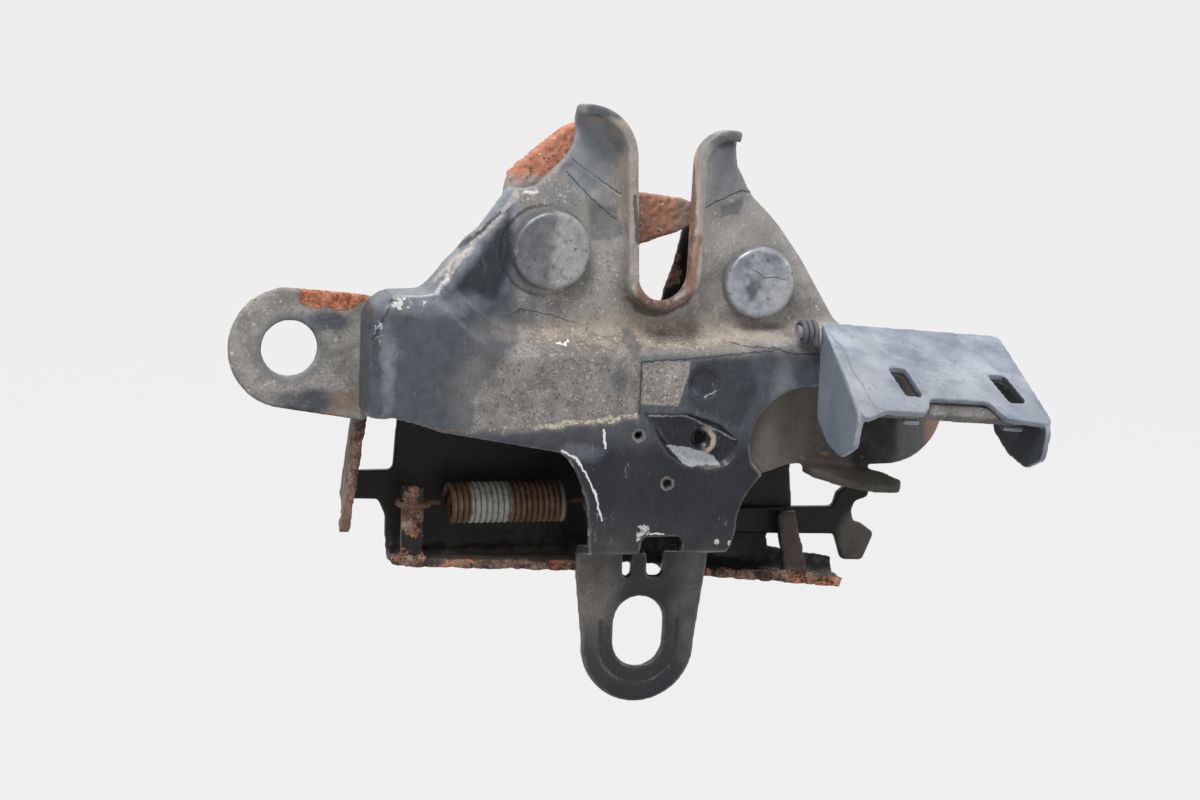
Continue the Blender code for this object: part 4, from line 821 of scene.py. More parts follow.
streak = times(tree, strokes(tree, uneven, STREAK), fade(tree, crumbly, 0.38, 0.56, 0.25, 1.0))
colour = over(tree, times(tree, streak, 0.9), colour, (0.50, 0.44, 0.41, 1))
low_line = times(tree, strokes(tree, uneven, LOW_LINE), fade(tree, crumbly, 0.4, 0.6))
colour = over(tree, low_line, colour, (0.50, 0.44, 0.34, 1))
residue = patches(tree, close, ((RESIDUE, 0.2, 0.9),))
residue = times(tree, residue, fade(tree, crumbly, 0.3, 0.5, 0.55, 1.0))
colour = over(tree, residue, colour, (0.30, 0.31, 0.32, 1))
crescent = times(tree, circle(tree, close, 11.0, -9.7, 2.6, 0.9), fade(tree, at_x, 10.0, 12.5))
colour = over(tree, crescent, colour, (0.36, 0.31, 0.24, 1))
upper_pin = circle(tree, close, -4.6, -8.2, 1.35, 0.35)
lower_pin = circle(tree, close, 2.6, -19.3, 1.35, 0.4)
pin_rims = highest(tree, upper_pin, lower_pin)
colour = over(tree, times(tree, pin_rims, 0.5), colour, (0.24, 0.21, 0.18, 1))
# Painted highlights along edges, broken up by a noise.
painted_rim_highlights = times(tree, strokes(tree, close, RIM_LIGHT), fade(tree, crumbly, 0.30, 0.55, 0.2, 0.62))
colour = over(tree, painted_rim_highlights, colour, (0.42, 0.43, 0.44, 1))

# Painted shade: dark rims round the seat's dish, round the left rivet's foot and round the dimple, laid with
# the dark lines below.
rivet_seat = circle(tree, close, -25.9, 32.3, 10.0, 0.55)
rivet_seat = times(tree, rivet_seat, fade(tree, at_x, -24.0, -30.0, 0.25, 0.85))
dish = times(tree, circle(tree, close, 1.9, -60.3, 9.2, 0.6), fade(tree, at_z, -59.0, -62.0))
dish = highest(tree, dish, strokes(tree, close, DISH_SIDES))
rings = highest(tree, dish, rivet_seat, circle(tree, close, 10.2, 3.9, 3.7, 0.3))
dark_marks = highest(tree, strokes(tree, close, DARK_LINES), rings)
colour = over(tree, times(tree, dark_marks, 0.75), colour, (0.022, 0.021, 0.021, 1))

chip_zone = stains(tree, spot, CHIPPED)
chip_zone = patches(tree, close, ((CHIPPED_CORNER, 0.5, 0.56),), chip_zone)
chips = fill(tree, FLAKES, {"Place": spot, "Amount": chip_zone, "Size": 1.5})["Mask"]
chips = times(tree, chips, fade(tree, chip_zone, 0.05, 0.3))
lines = times(tree, strokes(tree, close, WHITE_LINES), fade(tree, crumbly, 0.28, 0.42))
chip_tone = over(tree, fade(tree, crumbly, 0.35, 0.6), (0.26, 0.27, 0.28, 1), (0.50, 0.50, 0.48, 1))
colour = over(tree, chips, colour, chip_tone)
colour = over(tree, lines, colour, (0.62, 0.63, 0.62, 1))

foot_shade = times(tree, strokes(tree, uneven, FOOT_SHADE), 0.75)
colour = over(tree, foot_shade, colour, (0.045, 0.034, 0.028, 1))
foot_rim = strokes(tree, uneven, ((FOOT_RIM, 1.7),))
foot_rim = times(tree, foot_rim, fade(tree, crumbly, 0.3, 0.5, 0.65, 0.95))
rim_tone = over(tree, fade(tree, at_z, 27.0, 21.5), (0.20, 0.11, 0.07, 1), (0.075, 0.048, 0.036, 1))
colour = over(tree, foot_rim, colour, rim_tone)
rust_zone = stains(tree, spot, RUSTY)
rust = fill(tree, RUST, {"Place": spot, "Amount": rust_zone, "Orange": 0.46})
rust_there = times(tree, rust["Mask"], fade(tree, rust_zone, 0.05, 0.4))
colour = over(tree, stains(tree, spot, SLOT_WALL), colour, (0.58, 0.42, 0.34, 1))
colour = over(tree, times(tree, rust_there, 0.85), colour, rust["Color"])

dull = highest(tree, dust["Mask"], rust_there, chips, lines)
rough = fade(tree, dull, 0.0, 0.9, 0.30, 0.80)
rough = maths(tree, "ADD", rough, fade(tree, cloud(tree, spot, 0.8, 4.0), 0.3, 0.7, -0.05, 0.07))
grain_height = times(tree, dust["Height"], fade(tree, at_z, -9.0, -3.0, 0.0, 0.8))
relief = maths(tree, "ADD", grain_height, chips)
relief = maths(tree, "ADD", relief, times(tree, cloud(tree, spot, 0.7, 3.0), 0.4))
relief = maths(tree, "SUBTRACT", relief, times(tree, rings, 1.2))
shader.inputs["Specular IOR Level"].default_value = 0.28
end_finish(tree, shader, colour, rough, relief, 0.07)
print("finish:", dusty_black_paint.name, "with", len(tree.nodes), "nodes")

# %% [markdown]
# The plates behind are bare of dust but rusty: black paint with brown freckles, and a rear flange
# whose lower edge has lost its paint. One recipe makes them all. Each piece gives its own coloured
# stains, its rust and its dust, so the recipe is a function that is called once for each piece.

# %% Finish: rusty steel, in several states


def rusty_finish(
    title, paint_colour, rust_amount, dust_amount, spots=(), orange=0.3, sand=0.4, tints=(), tan=0.4
):
    """Old paint with rust and dust. Spots are stains with more rust, tints are stains of a plain colour."""
    finish, tree, shader, spot, uneven = new_finish(title, 1.0, 3.2)
    wear = fill(tree, EDGES, {"Place": spot, "Wear": 0.7, "Patch size": 2.5})
    zone = stains(tree, uneven, spots, rust_amount)
    zone = maths(tree, "ADD", zone, times(tree, wear["Edge"], 0.2))
    rust = fill(tree, RUST, {"Place": spot, "Amount": zone, "Orange": orange})
    dust = fill(tree, DUST, {"Place": spot, "Amount": dust_amount, "Sand": sand, "Tan": tan})
    shade = cloud(tree, spot, 0.22, 5.0, 0.65)
    darker = tuple(0.55 * c for c in paint_colour) + (1,)
    colour = over(tree, fade(tree, shade, 0.35, 0.65), darker, (*paint_colour, 1))
    colour = over(tree, dust["Mask"], colour, dust["Color"])
    for centre, reach, soft, strength, tint in tints:
        mask = stains(tree, uneven, ((centre, reach, soft, strength),))
        mask = times(tree, mask, fade(tree, shade, 0.25, 0.55, 0.6, 1.0))
        colour = over(tree, mask, colour, (*tint, 1))
    scuffs = fill(tree, SCUFFS, {"Place": uneven, "Stretch": (0.25, 1.6, 1.6), "Amount": 0.2})
    brighter = tuple(min(1.0, 2.5 * c + 0.03) for c in paint_colour) + (1,)
    colour = over(tree, scuffs["Mask"], colour, brighter)
    colour = over(tree, rust["Mask"], colour, rust["Color"])
    rough = fade(tree, highest(tree, rust["Mask"], dust["Mask"]), 0.0, 0.8, 0.46, 0.88)
    relief = times(tree, rust["Mask"], rust["Height"])
    relief = maths(tree, "ADD", relief, times(tree, cloud(tree, spot, 0.9, 3.0), 0.4))
    relief = maths(tree, "ADD", relief, times(tree, dust["Height"], 0.5))
    shader.inputs["Specular IOR Level"].default_value = 0.2
    end_finish(tree, shader, colour, rough, relief, 0.10)
    return finish


flange_rust = (
    ((-56, 18, -40.5), (9, 3.5, 5.5), 0.4, 0.66),
    ((-30, 17, -43.0), (28, 2.6, 4.0), 0.4, 0.56),
    ((30, 17, -46.5), (30, 2.6, 4.0), 0.4, 0.54),
    ((-52, 17, -29), (3.4, 3, 7), 0.3, 0.62),
    ((-64.5, 19, -18), (3.5, 4.5, 18), 0.3, 0.58),
    ((7, 22, 27), (3, ANY, 5), 0.4, 0.7),
)
flange_tints = (
    ((-30, 21, -40.4), (30, 5, 1.6), 0.4, 0.8, (0.11, 0.092, 0.078)),
    ((-66, 19, -22), (4, 5, 18), 0.4, 0.80, (0.22, 0.135, 0.095)),
    ((41, 19, -38), (5, 4, 9), 0.3, 0.85, (0.050, 0.036, 0.027)),
    ((-52, 17, -27), (3.4, 3, 4), 0.4, 0.70, (0.070, 0.045, 0.032)),
)
rear_steel = rusty_finish(
    "rear plate steel",
    (0.008, 0.0075, 0.007),
    rust_amount=0.06,
    dust_amount=0.03,
    spots=flange_rust,
    orange=0.44,
    sand=0.3,
    tints=flange_tints,
)
fork_tint = (((59, 24, -38), (5.5, ANY, 6.5), 0.3, 0.85, (0.085, 0.075, 0.065)),)
cable_steel = rusty_finish(
    "cable bracket steel", (0.004, 0.004, 0.004), 0.06, 0.01, orange=0.2, sand=0.3, tints=fork_tint
)
pawl_steel = rusty_finish("pawl steel", (0.016, 0.015, 0.014), 0.36, 0.12, sand=0.3)
lever_steel = rusty_finish("lever steel", (0.042, 0.040, 0.036), 0.18, 0.45, orange=0.25, sand=0.5, tan=0.1)
print("finishes:", rear_steel.name, cable_steel.name, pawl_steel.name, lever_steel.name)

# %% [markdown]
# The two ears are separate brackets. The left one is grey green with dirt, and has a rusty patch on its
# top edge and a tan line where it meets the box. The right one is brown with dust near the bend, is
# painted nearly black up to a crease as the handle cover's shadow, and its round end is grey with a
# brown patch. They use the same recipe, with the rust and the coloured stains at other places.

# %% Finish: the ears
left_rust = (
    ((-72, 15, 20.6), (8.6, ANY, 2.7), 0.35, 0.80),
    ((-78, 15, -5.6), (9, ANY, 0.9), 0.5, 0.62),
)
left_tints = (
    ((-72.5, 15, 15.2), (4.6, ANY, 2.2), 0.4, 0.80, (0.045, 0.055, 0.075)),
    ((-77, 15, -2.6), (6.5, ANY, 2.8), 0.4, 0.85, (0.035, 0.042, 0.060)),
    ((-69, 15, -2.4), (3.0, ANY, 2.6), 0.5, 0.70, (0.17, 0.115, 0.070)),
    ((-63.8, 15, 8), (2.0, ANY, 15), 0.4, 0.75, (0.30, 0.26, 0.20)),
    ((-81.3, 15, 9.3), (8.0, ANY, 8.0), 0.12, 0.55, (0.10, 0.115, 0.125)),
)
left_ear_steel = rusty_finish(
    "left ear steel",
    (0.15, 0.152, 0.14),
    rust_amount=0.17,
    dust_amount=0.80,
    spots=left_rust,
    orange=0.72,
    sand=0.35,
    tints=left_tints,
    tan=0.25,
)
right_rust = (((46, 12, -16.5), (14, ANY, 1.4), 0.5, 0.46),)
right_tints_and_cover_shadow = (
    ((33, 4, -7), (9, ANY, 12), 0.5, 0.85, (0.150, 0.128, 0.104)),
    # Painted shadow: the handle cover's shadow on the ear, nearly black up to the crease.
    ((57.4, 14, -12), (6.2, ANY, 12), 0.25, 1.0, (0.020, 0.019, 0.018)),
    ((70, 14, -12), (6.4, ANY, 9), 0.12, 0.85, (0.105, 0.107, 0.112)),
    ((72.8, 14, -9.6), (2.8, ANY, 5.6), 0.4, 0.95, (0.28, 0.165, 0.125)),
    ((50, 4, -20), (12, 12, 2.6), 0.4, 0.70, (0.075, 0.066, 0.054)),
)
right_ear_steel = rusty_finish(
    "right ear steel",
    (0.070, 0.062, 0.053),
    rust_amount=0.14,
    dust_amount=0.25,
    spots=right_rust,
    orange=0.2,
    sand=0.35,
    tints=right_tints_and_cover_shadow,
)
print("finishes:", left_ear_steel.name, right_ear_steel.name)

# %% [markdown]
# The claw is bare steel that has gone orange all over. Its upper jaw is grey with dust below a slanting
# line, and the tip of its lower jaw is grey brown where the striker rubs. Pits and pale grains are part
# of the colour as well as of the relief.

# %% Finish: orange rust of the claw
claw_rust, tree, shader, spot, uneven = new_finish("orange rust", 0.9, 2.6)
rust = fill(tree, RUST, {"Place": spot, "Amount": 1.0, "Orange": 0.62})
dust = fill(tree, DUST, {"Place": spot, "Amount": 1.0, "Sand": 0.4, "Tan": 0.5})
specks = fill(tree, GRAINS, {"Place": spot, "Density": 0.17, "Size": 0.8})
salmon = over(tree, 0.55, rust["Color"], (0.46, 0.185, 0.11, 1))
jaw = stains(tree, uneven, (((1, 12, 40), (8, ANY, 8), 0.3, 0.45),))
salmon = over(tree, jaw, salmon, (0.25, 0.155, 0.12, 1))
salmon = over(tree, times(tree, specks["Bright"], 0.65), salmon, (0.60, 0.52, 0.46, 1))
salmon = over(tree, times(tree, specks["Dark"], 0.75), salmon, (0.045, 0.028, 0.022, 1))
tip = stains(tree, uneven, (((7.6, 12, 40.5), (3.4, ANY, 5.0), 0.4, 0.75),))
colour = over(tree, tip, salmon, (0.19, 0.145, 0.125, 1))
grey_jaw = patches(tree, uneven, (([(-40, 49.4), (-22, 48.2), (-24, 43), (-40, 40)], 0.8, 0.95),))
grey_jaw = times(tree, grey_jaw, fade(tree, cloud(tree, spot, 0.5, 4.0, 0.65), 0.34, 0.50, 0.25, 1.0))
colour = over(tree, grey_jaw, colour, over(tree, 0.4, dust["Color"], (0.33, 0.315, 0.29, 1)))
rough = fade(tree, specks["Bright"], 0.0, 1.0, 0.82, 0.7)
relief = maths(tree, "ADD", rust["Height"], times(tree, specks["Bright"], 0.6))
relief = maths(tree, "SUBTRACT", relief, specks["Dark"])
end_finish(tree, shader, colour, rough, relief, 0.08)
print("finish:", claw_rust.name)

# %% [markdown]
# Both rivet heads are dull dark steel. The left one is dusty on its right half, with a ragged border
# down the middle. The right one is greyer, with a dark smudge and a fine crack. The metal is a little
# shiny where no dust lies, so Metallic follows the dust's mask.

# %% Finish: the rivets


def rivet_finish(title, dusty, smudges, dark_marks, base, dust_tone):
    """Dull steel with dust at the given patches, dark smudges, fine cracks and a pale worn rim."""
    finish, tree, shader, spot, uneven = new_finish(title, 2.2, 3.2)
    wear = fill(tree, EDGES, {"Place": spot, "Wear": 0.8, "Patch size": 2.0})
    broken = fade(tree, cloud(tree, spot, 0.5, 4.0, 0.65), 0.36, 0.52, 0.35, 1.05)
    zone = maths(tree, "ADD", times(tree, patches(tree, uneven, dusty), broken), 0.05)
    dust = fill(tree, DUST, {"Place": spot, "Amount": zone, "Sand": 0.5, "Tan": 0.1})
    cloudy = cloud(tree, spot, 0.4, 5.0, 0.68)
    steel = over(tree, fade(tree, cloudy, 0.35, 0.65), tuple(0.62 * c for c in base) + (1,), (*base, 1))
    steel = over(tree, times(tree, stains(tree, uneven, smudges), 0.85), steel, (0.035, 0.040, 0.052, 1))
    grey = over(tree, 0.55, dust["Color"], (*dust_tone, 1))
    colour = over(tree, dust["Mask"], steel, grey)
    colour = over(tree, times(tree, wear["Edge"], 0.35), colour, (0.33, 0.34, 0.35, 1))
    scuffs = fill(tree, SCUFFS, {"Place": uneven, "Stretch": (0.3, 2.0, 2.0), "Amount": 0.3})
    colour = over(tree, scuffs["Mask"], colour, (0.36, 0.36, 0.36, 1))
    flecks = fill(tree, GRAINS, {"Place": spot, "Density": 0.10, "Size": 1.1})
    colour = over(tree, times(tree, flecks["Dark"], 0.7), colour, (0.05, 0.05, 0.052, 1))
    if dark_marks:
        colour = over(tree, times(tree, strokes(tree, spot, dark_marks), 0.8), colour, (0.02, 0.02, 0.02, 1))
    rough = fade(tree, dust["Mask"], 0.0, 0.8, 0.42, 0.82)
    relief = maths(tree, "ADD", times(tree, dust["Height"], dust["Mask"]), times(tree, cloudy, 0.8))
    tree.links.new(fade(tree, dust["Mask"], 0.0, 0.6, 0.4, 0.0), shader.inputs["Metallic"])
    end_finish(tree, shader, colour, rough, relief, 0.06)
    return finish


left_head_steel = rivet_finish(
    "left rivet steel",
    (([(-24.5, 42), (-16, 40), (-16, 25), (-25.6, 24), (-25.4, 28), (-24.4, 33)], 2.4, 1.0),),
    (((-24.6, 4, 27.4), (2.0, ANY, 0.9), 0.5, 0.8), ((-19.5, 4, 27.5), (2, ANY, 1.5), 0.6, 0.5)),
    (),
    (0.135, 0.14, 0.15),
    (0.27, 0.272, 0.268),
)
right_head_steel = rivet_finish(
    "right rivet steel",
    (([(25.5, 33), (31, 32), (32, 20), (20, 18), (22, 21), (26, 24)], 1.5, 0.6),),
    (
        ((22.0, 4, 24.6), (1.5, ANY, 2.6), 0.6, 0.95),
        ((20, 4, 30.6), (3, ANY, 1.6), 0.6, 0.6),
        ((27, 4, 31.6), (2.6, ANY, 1.4), 0.6, 0.6),
    ),
    (([(21.6, 28.9), (23.2, 28.2), (24.6, 27.0), (27.2, 27.3), (29.6, 26.6)], 0.15),),
    (0.31, 0.325, 0.35),
    (0.34, 0.345, 0.35),
)
print("finishes:", left_head_steel.name, right_head_steel.name)

# %% [markdown]
# The tension spring's wire is brown with rust, and a white paint band marks its middle. The band is a
# stain with a hard edge, not a piece of its own, because it is only a splash of paint over several
# coils. The other two springs use the same finish and lie outside the band.

# %% Finish: spring wire
spring_wire, tree, shader, spot, uneven = new_finish("rusty spring wire", 0.5, 2.0)
rust = fill(tree, RUST, {"Place": spot, "Amount": 1.0, "Orange": 0.30})
band = stains(tree, uneven, (((-34.9, 17, -26.7), (5.2, 9, 9), 0.08, 1.0),))
worn_band = times(tree, band, fade(tree, cloud(tree, spot, 0.9, 4.0, 0.7), 0.36, 0.50, 0.35, 1.0))
pale_end = stains(tree, uneven, (((-17.6, 17, -27.0), (1.0, 9, 9), 0.3, 0.6),))
small_coil = stains(tree, spot, (((33.6, -1.2, 15.6), (5, 5, 6), 0.1, 0.9),))
brown = over(tree, 0.65, rust["Color"], (0.082, 0.040, 0.016, 1))
colour = over(tree, worn_band, brown, (0.25, 0.255, 0.225, 1))
colour = over(tree, pale_end, colour, (0.20, 0.19, 0.15, 1))
colour = over(tree, small_coil, colour, (0.10, 0.105, 0.115, 1))
rough = fade(tree, cloud(tree, spot, 0.9), 0.3, 0.7, 0.5, 0.8)
tree.links.new(fade(tree, worn_band, 0.0, 1.0, 0.2, 0.0), shader.inputs["Metallic"])
shader.inputs["Specular IOR Level"].default_value = 0.3
end_finish(tree, shader, colour, rough, rust["Height"], 0.05)
print("finish:", spring_wire.name)

# %% [markdown]
# The handle's cover is blue grey plastic, faded and scuffed. Wear on plastic shows as pale streaks, so
# a stretched noise that is turned to run down to the right lays light and dark streaks over the top.
# The flanks that face left are painted darker than the top as shade, and the inner side of the right
# flank is painted nearly black as the cover's shadow on itself, so two masks follow the way the
# surface faces. A little coat keeps the sheen that plastic has.

# %% Finish: faded plastic of the cover
cover_plastic, tree, shader, spot, uneven = new_finish("faded blue grey plastic", 1.0, 6.0)
wear = fill(tree, EDGES, {"Place": spot, "Wear": 0.9, "Patch size": 3.0})
aslant = {"Vector": uneven, "Axis": (0, 1, 0), "Angle": -0.75}
turned_spot = node(tree, "ShaderNodeVectorRotate", aslant).outputs[0]
streaks = cloud(tree, vectors(tree, "MULTIPLY", turned_spot, (0.016, 0.13, 0.13)), 1.0, 5.0, 0.58)
blotch = cloud(tree, spot, 0.14, 5.0, 0.62)
colour = over(tree, fade(tree, blotch, 0.3, 0.7), (0.155, 0.180, 0.218, 1), (0.240, 0.270, 0.310, 1))
colour = over(tree, fade(tree, streaks, 0.50, 0.66, 0.0, 0.62), colour, (0.36, 0.395, 0.44, 1))
colour = over(tree, fade(tree, streaks, 0.48, 0.34, 0.0, 0.8), colour, (0.11, 0.125, 0.155, 1))
warm_top = fade(tree, cloud(tree, spot, 0.07, 3.0), 0.42, 0.6, 0.0, 0.45)
colour = over(tree, warm_top, colour, (0.255, 0.258, 0.268, 1))
pores = fill(tree, GRAINS, {"Place": spot, "Density": 0.10, "Size": 0.7})["Dark"]
colour = over(tree, times(tree, pores, 0.55), colour, (0.07, 0.08, 0.10, 1))
# Painted shade: faces turned to the left are darker, and the inner side of the right flank is painted nearly
# black for the cover's shadow on itself.
facing = axis_of(tree, node(tree, "ShaderNodeTexCoord").outputs["Normal"], "X")
shaded_flank = fade(tree, facing, -0.35, -0.8)
colour = over(tree, times(tree, shaded_flank, 0.6), colour, (0.070, 0.090, 0.120, 1))
inner_side_shadow = times(tree, shaded_flank, fade(tree, axis_of(tree, uneven, "X"), 72.0, 76.0))
low = fade(tree, axis_of(tree, spot, "Z"), 8.0, -2.0, 0.0, 0.35)
colour = over(tree, low, colour, (0.10, 0.125, 0.165, 1))
crease = strokes(tree, uneven, (([(37.0, 16.5), (39.0, 14.0), (40.5, 6.0), (42.4, -1.0)], 0.5),))
colour = over(tree, times(tree, crease, 0.5), colour, (0.13, 0.13, 0.14, 1))
colour = over(tree, times(tree, wear["Edge"], 0.18), colour, (0.45, 0.47, 0.50, 1))
scuffs = fill(tree, SCUFFS, {"Place": uneven, "Stretch": (1.4, 1.4, 0.2), "Amount": 0.5})
colour = over(tree, scuffs["Mask"], colour, (0.12, 0.135, 0.16, 1))
colour = over(tree, times(tree, wear["Corner"], 0.7), colour, (0.07, 0.078, 0.09, 1))
colour = over(tree, times(tree, inner_side_shadow, 0.9), colour, (0.014, 0.016, 0.019, 1))
rough = fade(tree, streaks, 0.3, 0.7, 0.46, 0.66)
relief = maths(tree, "ADD", streaks, times(tree, cloud(tree, spot, 1.6, 3.0), 0.4))
shader.inputs["Coat Weight"].default_value = 0.05
end_finish(tree, shader, colour, rough, relief, 0.05)
print("finish:", cover_plastic.name)

# %% [markdown]
# The solids have sharp edges and coarse bends. Pressed sheet steel has neither. A bevel would need
# clean edge loops, which a pressed sheet with sloping folds does not have. Remeshing a copy of the
# solid into small even faces and smoothing it rounds every edge at once, and gives a mesh fine enough
# for the wear masks. The copy then stands for the solid.

# %% Helper: a fine copy of a solid


def fine_copy(title, solid, body, finish, face=0.0005, rounds=3):
    """A remeshed, softly rounded copy of a solid, which replaces it."""
    mesh = frame["nodes"][solid].data.copy()
    work = bmesh.new()
    work.from_mesh(mesh)
    bmesh.ops.remove_doubles(work, verts=work.verts, dist=0.00001)
    work.to_mesh(mesh)
    work.free()
    rough_piece = bpy.data.objects.new(title + " rough", mesh)
    scene.collection.objects.link(rough_piece)
    even = rough_piece.modifiers.new("even faces", "REMESH")
    even.mode = "VOXEL"
    even.voxel_size = face
    even.use_smooth_shade = True
    soft = rough_piece.modifiers.new("rounded edges", "SMOOTH")
    soft.factor = 0.5
    soft.iterations = rounds
    graph = bpy.context.evaluated_depsgraph_get()
    final = bpy.data.meshes.new_from_object(rough_piece.evaluated_get(graph))
    bpy.data.objects.remove(rough_piece)
    final.name = title
    piece = bpy.data.objects.new(title, final)
    scene.collection.objects.link(piece)
    final.materials.clear()
    final.materials.append(finish)
    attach(piece, body)
    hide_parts(solid)
    print(title, len(final.polygons), "faces")
    return piece


# %% [markdown]
# Rust eats into steel, so a rusty piece also needs pits and swellings in its shape, which show at its
# outline where a bump map can't. Each point of a fine copy is pushed along its normal by two sizes of
# noise, but only where the rust is. Pits may be deep, while swellings stay low and inside the solids' box.

# %% Helper: rough rusty surfaces
HIGHEST_SWELLING = 0.25


def eaten(piece, depth, size, strength):
    """Pushes the points in and out by up to depth, where strength, a function of the drawing place, says."""
    mesh = piece.data
    count = len(mesh.vertices)
    points = np.empty(count * 3, np.float32)
    mesh.vertices.foreach_get("co", points)
    normals = np.empty(count * 3, np.float32)
    mesh.vertices.foreach_get("normal", normals)
    points = points.reshape(-1, 3)
    drawn = points * 1000 + np.array(TAB_SEAT)
    amount = np.clip(strength(*drawn.T) + np.zeros(count), 0, 1)
    for k in np.nonzero(amount > 0.01)[0]:
        here = Vector(drawn[k])
        wave = 0.65 * noise.noise(here / size) + 0.35 * noise.noise(here * 2.7 / size)
        points[k] += normals[3 * k : 3 * k + 3] * float(min(wave, HIGHEST_SWELLING) * depth * amount[k])
    points = np.clip(points, np.array(solid_box[0]), np.array(solid_box[1]))
    mesh.vertices.foreach_set("co", points.astype(np.float32).reshape(-1))
    mesh.update()


# %% [markdown]
# The front plate is the largest pressing, and the other pieces are seen through it and beside it. Its
# copy has faces of half a millimetre: small enough for the rolled edge of the slot, and few enough to
# keep the scene quick.

# %% Plates and ears
fine_copy("front_plate_pressing", "front_plate", "frame", dusty_black_paint)
rear = fine_copy("rear_plate_pressing", "rear_plate", "frame", rear_steel, 0.0006, 2)
left_ear = fine_copy("left_ear_sheet", "left_ear_bracket", "frame", left_ear_steel, 0.00045)
right_ear = fine_copy("right_ear_sheet", "right_ear_bracket", "frame", right_ear_steel)
fine_copy("cable_fork", "cable_bracket", "frame", cable_steel, 0.00035)


def flange_strength(x, y, z):
    """Rust on the rear plate: the flange and its edge, and the side wall's front edge."""
    flange = np.clip((-34 - z) / 3, 0, 1)
    wall = np.clip((-59 - x) / 1.5, 0, 1) * np.clip((24 - y) / 3, 0, 1)
    return np.maximum(flange, wall)


eaten(rear, 0.0006, 1.9, flange_strength)
eaten(left_ear, 0.0003, 2.5, lambda x, y, z: 0.35 + np.clip((z - 17) / 3, 0, 1))
eaten(right_ear, 0.0002, 2.5, lambda x, y, z: 0.5)
print("plates done")

# %% [markdown]
# The claw and the pawl turn on their rivets, and the lever and its cover turn with the handle. Each
# copy rides on the body of its solid, so it follows its joint.

# %% Moving pieces
claw = fine_copy("claw_forging", "claw", "claw_body", claw_rust, 0.00035)
eaten(claw, 0.0005, 1.3, lambda x, y, z: 1.0)
pawl = fine_copy("pawl_blank", "pawl", "pawl_body", pawl_steel, 0.00045, 2)
eaten(pawl, 0.0003, 1.8, lambda x, y, z: 1.0)
fine_copy("lever_blank", "handle_lever", "handle_body", lever_steel, 0.0005, 2)
fine_copy("cover_moulding", "handle_cover", "handle_body", cover_plastic, 0.0004)
print("moving pieces done")

# %% [markdown]
# A rivet head and a washer are turned shapes. Spinning a profile round the axis gives true circles,
# which a remeshed copy of a coarse solid can't. The profile rounds the head's rim and sinks its middle
# by a hair, as a pressed head has it.

# %% Turned pieces
CLAW_AXIS = (-25.0, 32.6)
PAWL_AXIS = (23.9, 25.8)
HEAD_FRONT = 4.1
HEAD_BACK = 7.7
SHANK = 4.0
PEENED_FROM = 21.5
BORE = 4.3
LEVER_FRONT = 14.9
WASHER_FRONT = 17.7
REAR_PLATE = 18.7


def turned_piece(title, solid, finish, axis, profile, steps=96):
    """Spins a profile of (radius, depth) points, in millimetres, round an axis at (x, z)."""
    x, z = axis
    work = bmesh.new()
    rings = []
    for radius, depth in profile:
        if radius == 0:
            rings.append([work.verts.new(place(x, depth, z))])
            continue
        ring = []
        for k in range(steps):
            angle = 2 * math.pi * k / steps
            rim_x = x + radius * math.cos(angle)
            rim_z = z + radius * math.sin(angle)
            ring.append(work.verts.new(place(rim_x, depth, rim_z)))
        rings.append(ring)
    for one, two in zip(rings, rings[1:]):
        for k in range(steps):
            n = (k + 1) % steps
            corners = [one[k % len(one)], one[n % len(one)], two[n % len(two)], two[k % len(two)]]
            work.faces.new(list(dict.fromkeys(corners)))
    bmesh.ops.remove_doubles(work, verts=work.verts, dist=0.000001)
    bmesh.ops.recalc_face_normals(work, faces=work.faces)
    mesh = bpy.data.meshes.new(title)
    work.to_mesh(mesh)
    work.free()
    mesh.shade_smooth()
    mesh.set_sharp_from_angle(angle=math.radians(50))
    mesh.materials.append(finish)
    piece = bpy.data.objects.new(title, mesh)
    scene.collection.objects.link(piece)
    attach(piece, "frame")
    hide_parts(solid)


def rim_round(radius, depth, size, start, end, steps=6):
    """Points of a rounded rim. Angles run from 0, outwards, to 90, forwards."""
    points = []
    for angle in np.radians(np.linspace(start, end, steps)):
        points.append((radius - size + size * math.cos(angle), depth + size - size * math.sin(angle)))
    return points


def rivet_profile(head):
    """Half of a rivet's section: head in front, shank through the plates, peened end behind."""
    front = [(0, HEAD_FRONT + 0.15), (head * 0.35, HEAD_FRONT + 0.14)]
    front += [(head * 0.7, HEAD_FRONT + 0.08), (head - 1.6, HEAD_FRONT + 0.01)]
    front += rim_round(head, HEAD_FRONT, 1.1, 90, 0)
    front += [(head, HEAD_BACK - 0.2), (head - 0.2, HEAD_BACK), (SHANK, HEAD_BACK), (SHANK, PEENED_FROM)]
    end = ((6.2, 0.0), (6.4, 0.2), (6.4, 0.8), (6.0, 1.4), (4.8, 1.75), (0, 1.8))
    return front + [(radius, PEENED_FROM + depth) for radius, depth in end]


def sleeve_profile(radius, front, back, bevel=0.2):
    """Half of a sleeve's section, closed, with its outer edges bevelled."""
    outside = [(radius - bevel, front), (radius, front + bevel)]
    outside += [(radius, back - bevel), (radius - bevel, back)]
    return [(BORE, front)] + outside + [(BORE, back), (BORE, front)]


spacer = sleeve_profile(5.5, LEVER_FRONT, REAR_PLATE)
washer = sleeve_profile(7.8, WASHER_FRONT, REAR_PLATE)
turned_piece("left_rivet", "claw_rivet", left_head_steel, CLAW_AXIS, rivet_profile(8.8))
turned_piece("right_rivet", "pawl_rivet", right_head_steel, PAWL_AXIS, rivet_profile(8.2))
turned_piece("spacer_tube", "claw_spacer", right_head_steel, CLAW_AXIS, spacer)
turned_piece("washer_disc", "lever_washer", right_head_steel, PAWL_AXIS, washer)
print("rivets and washers turned")

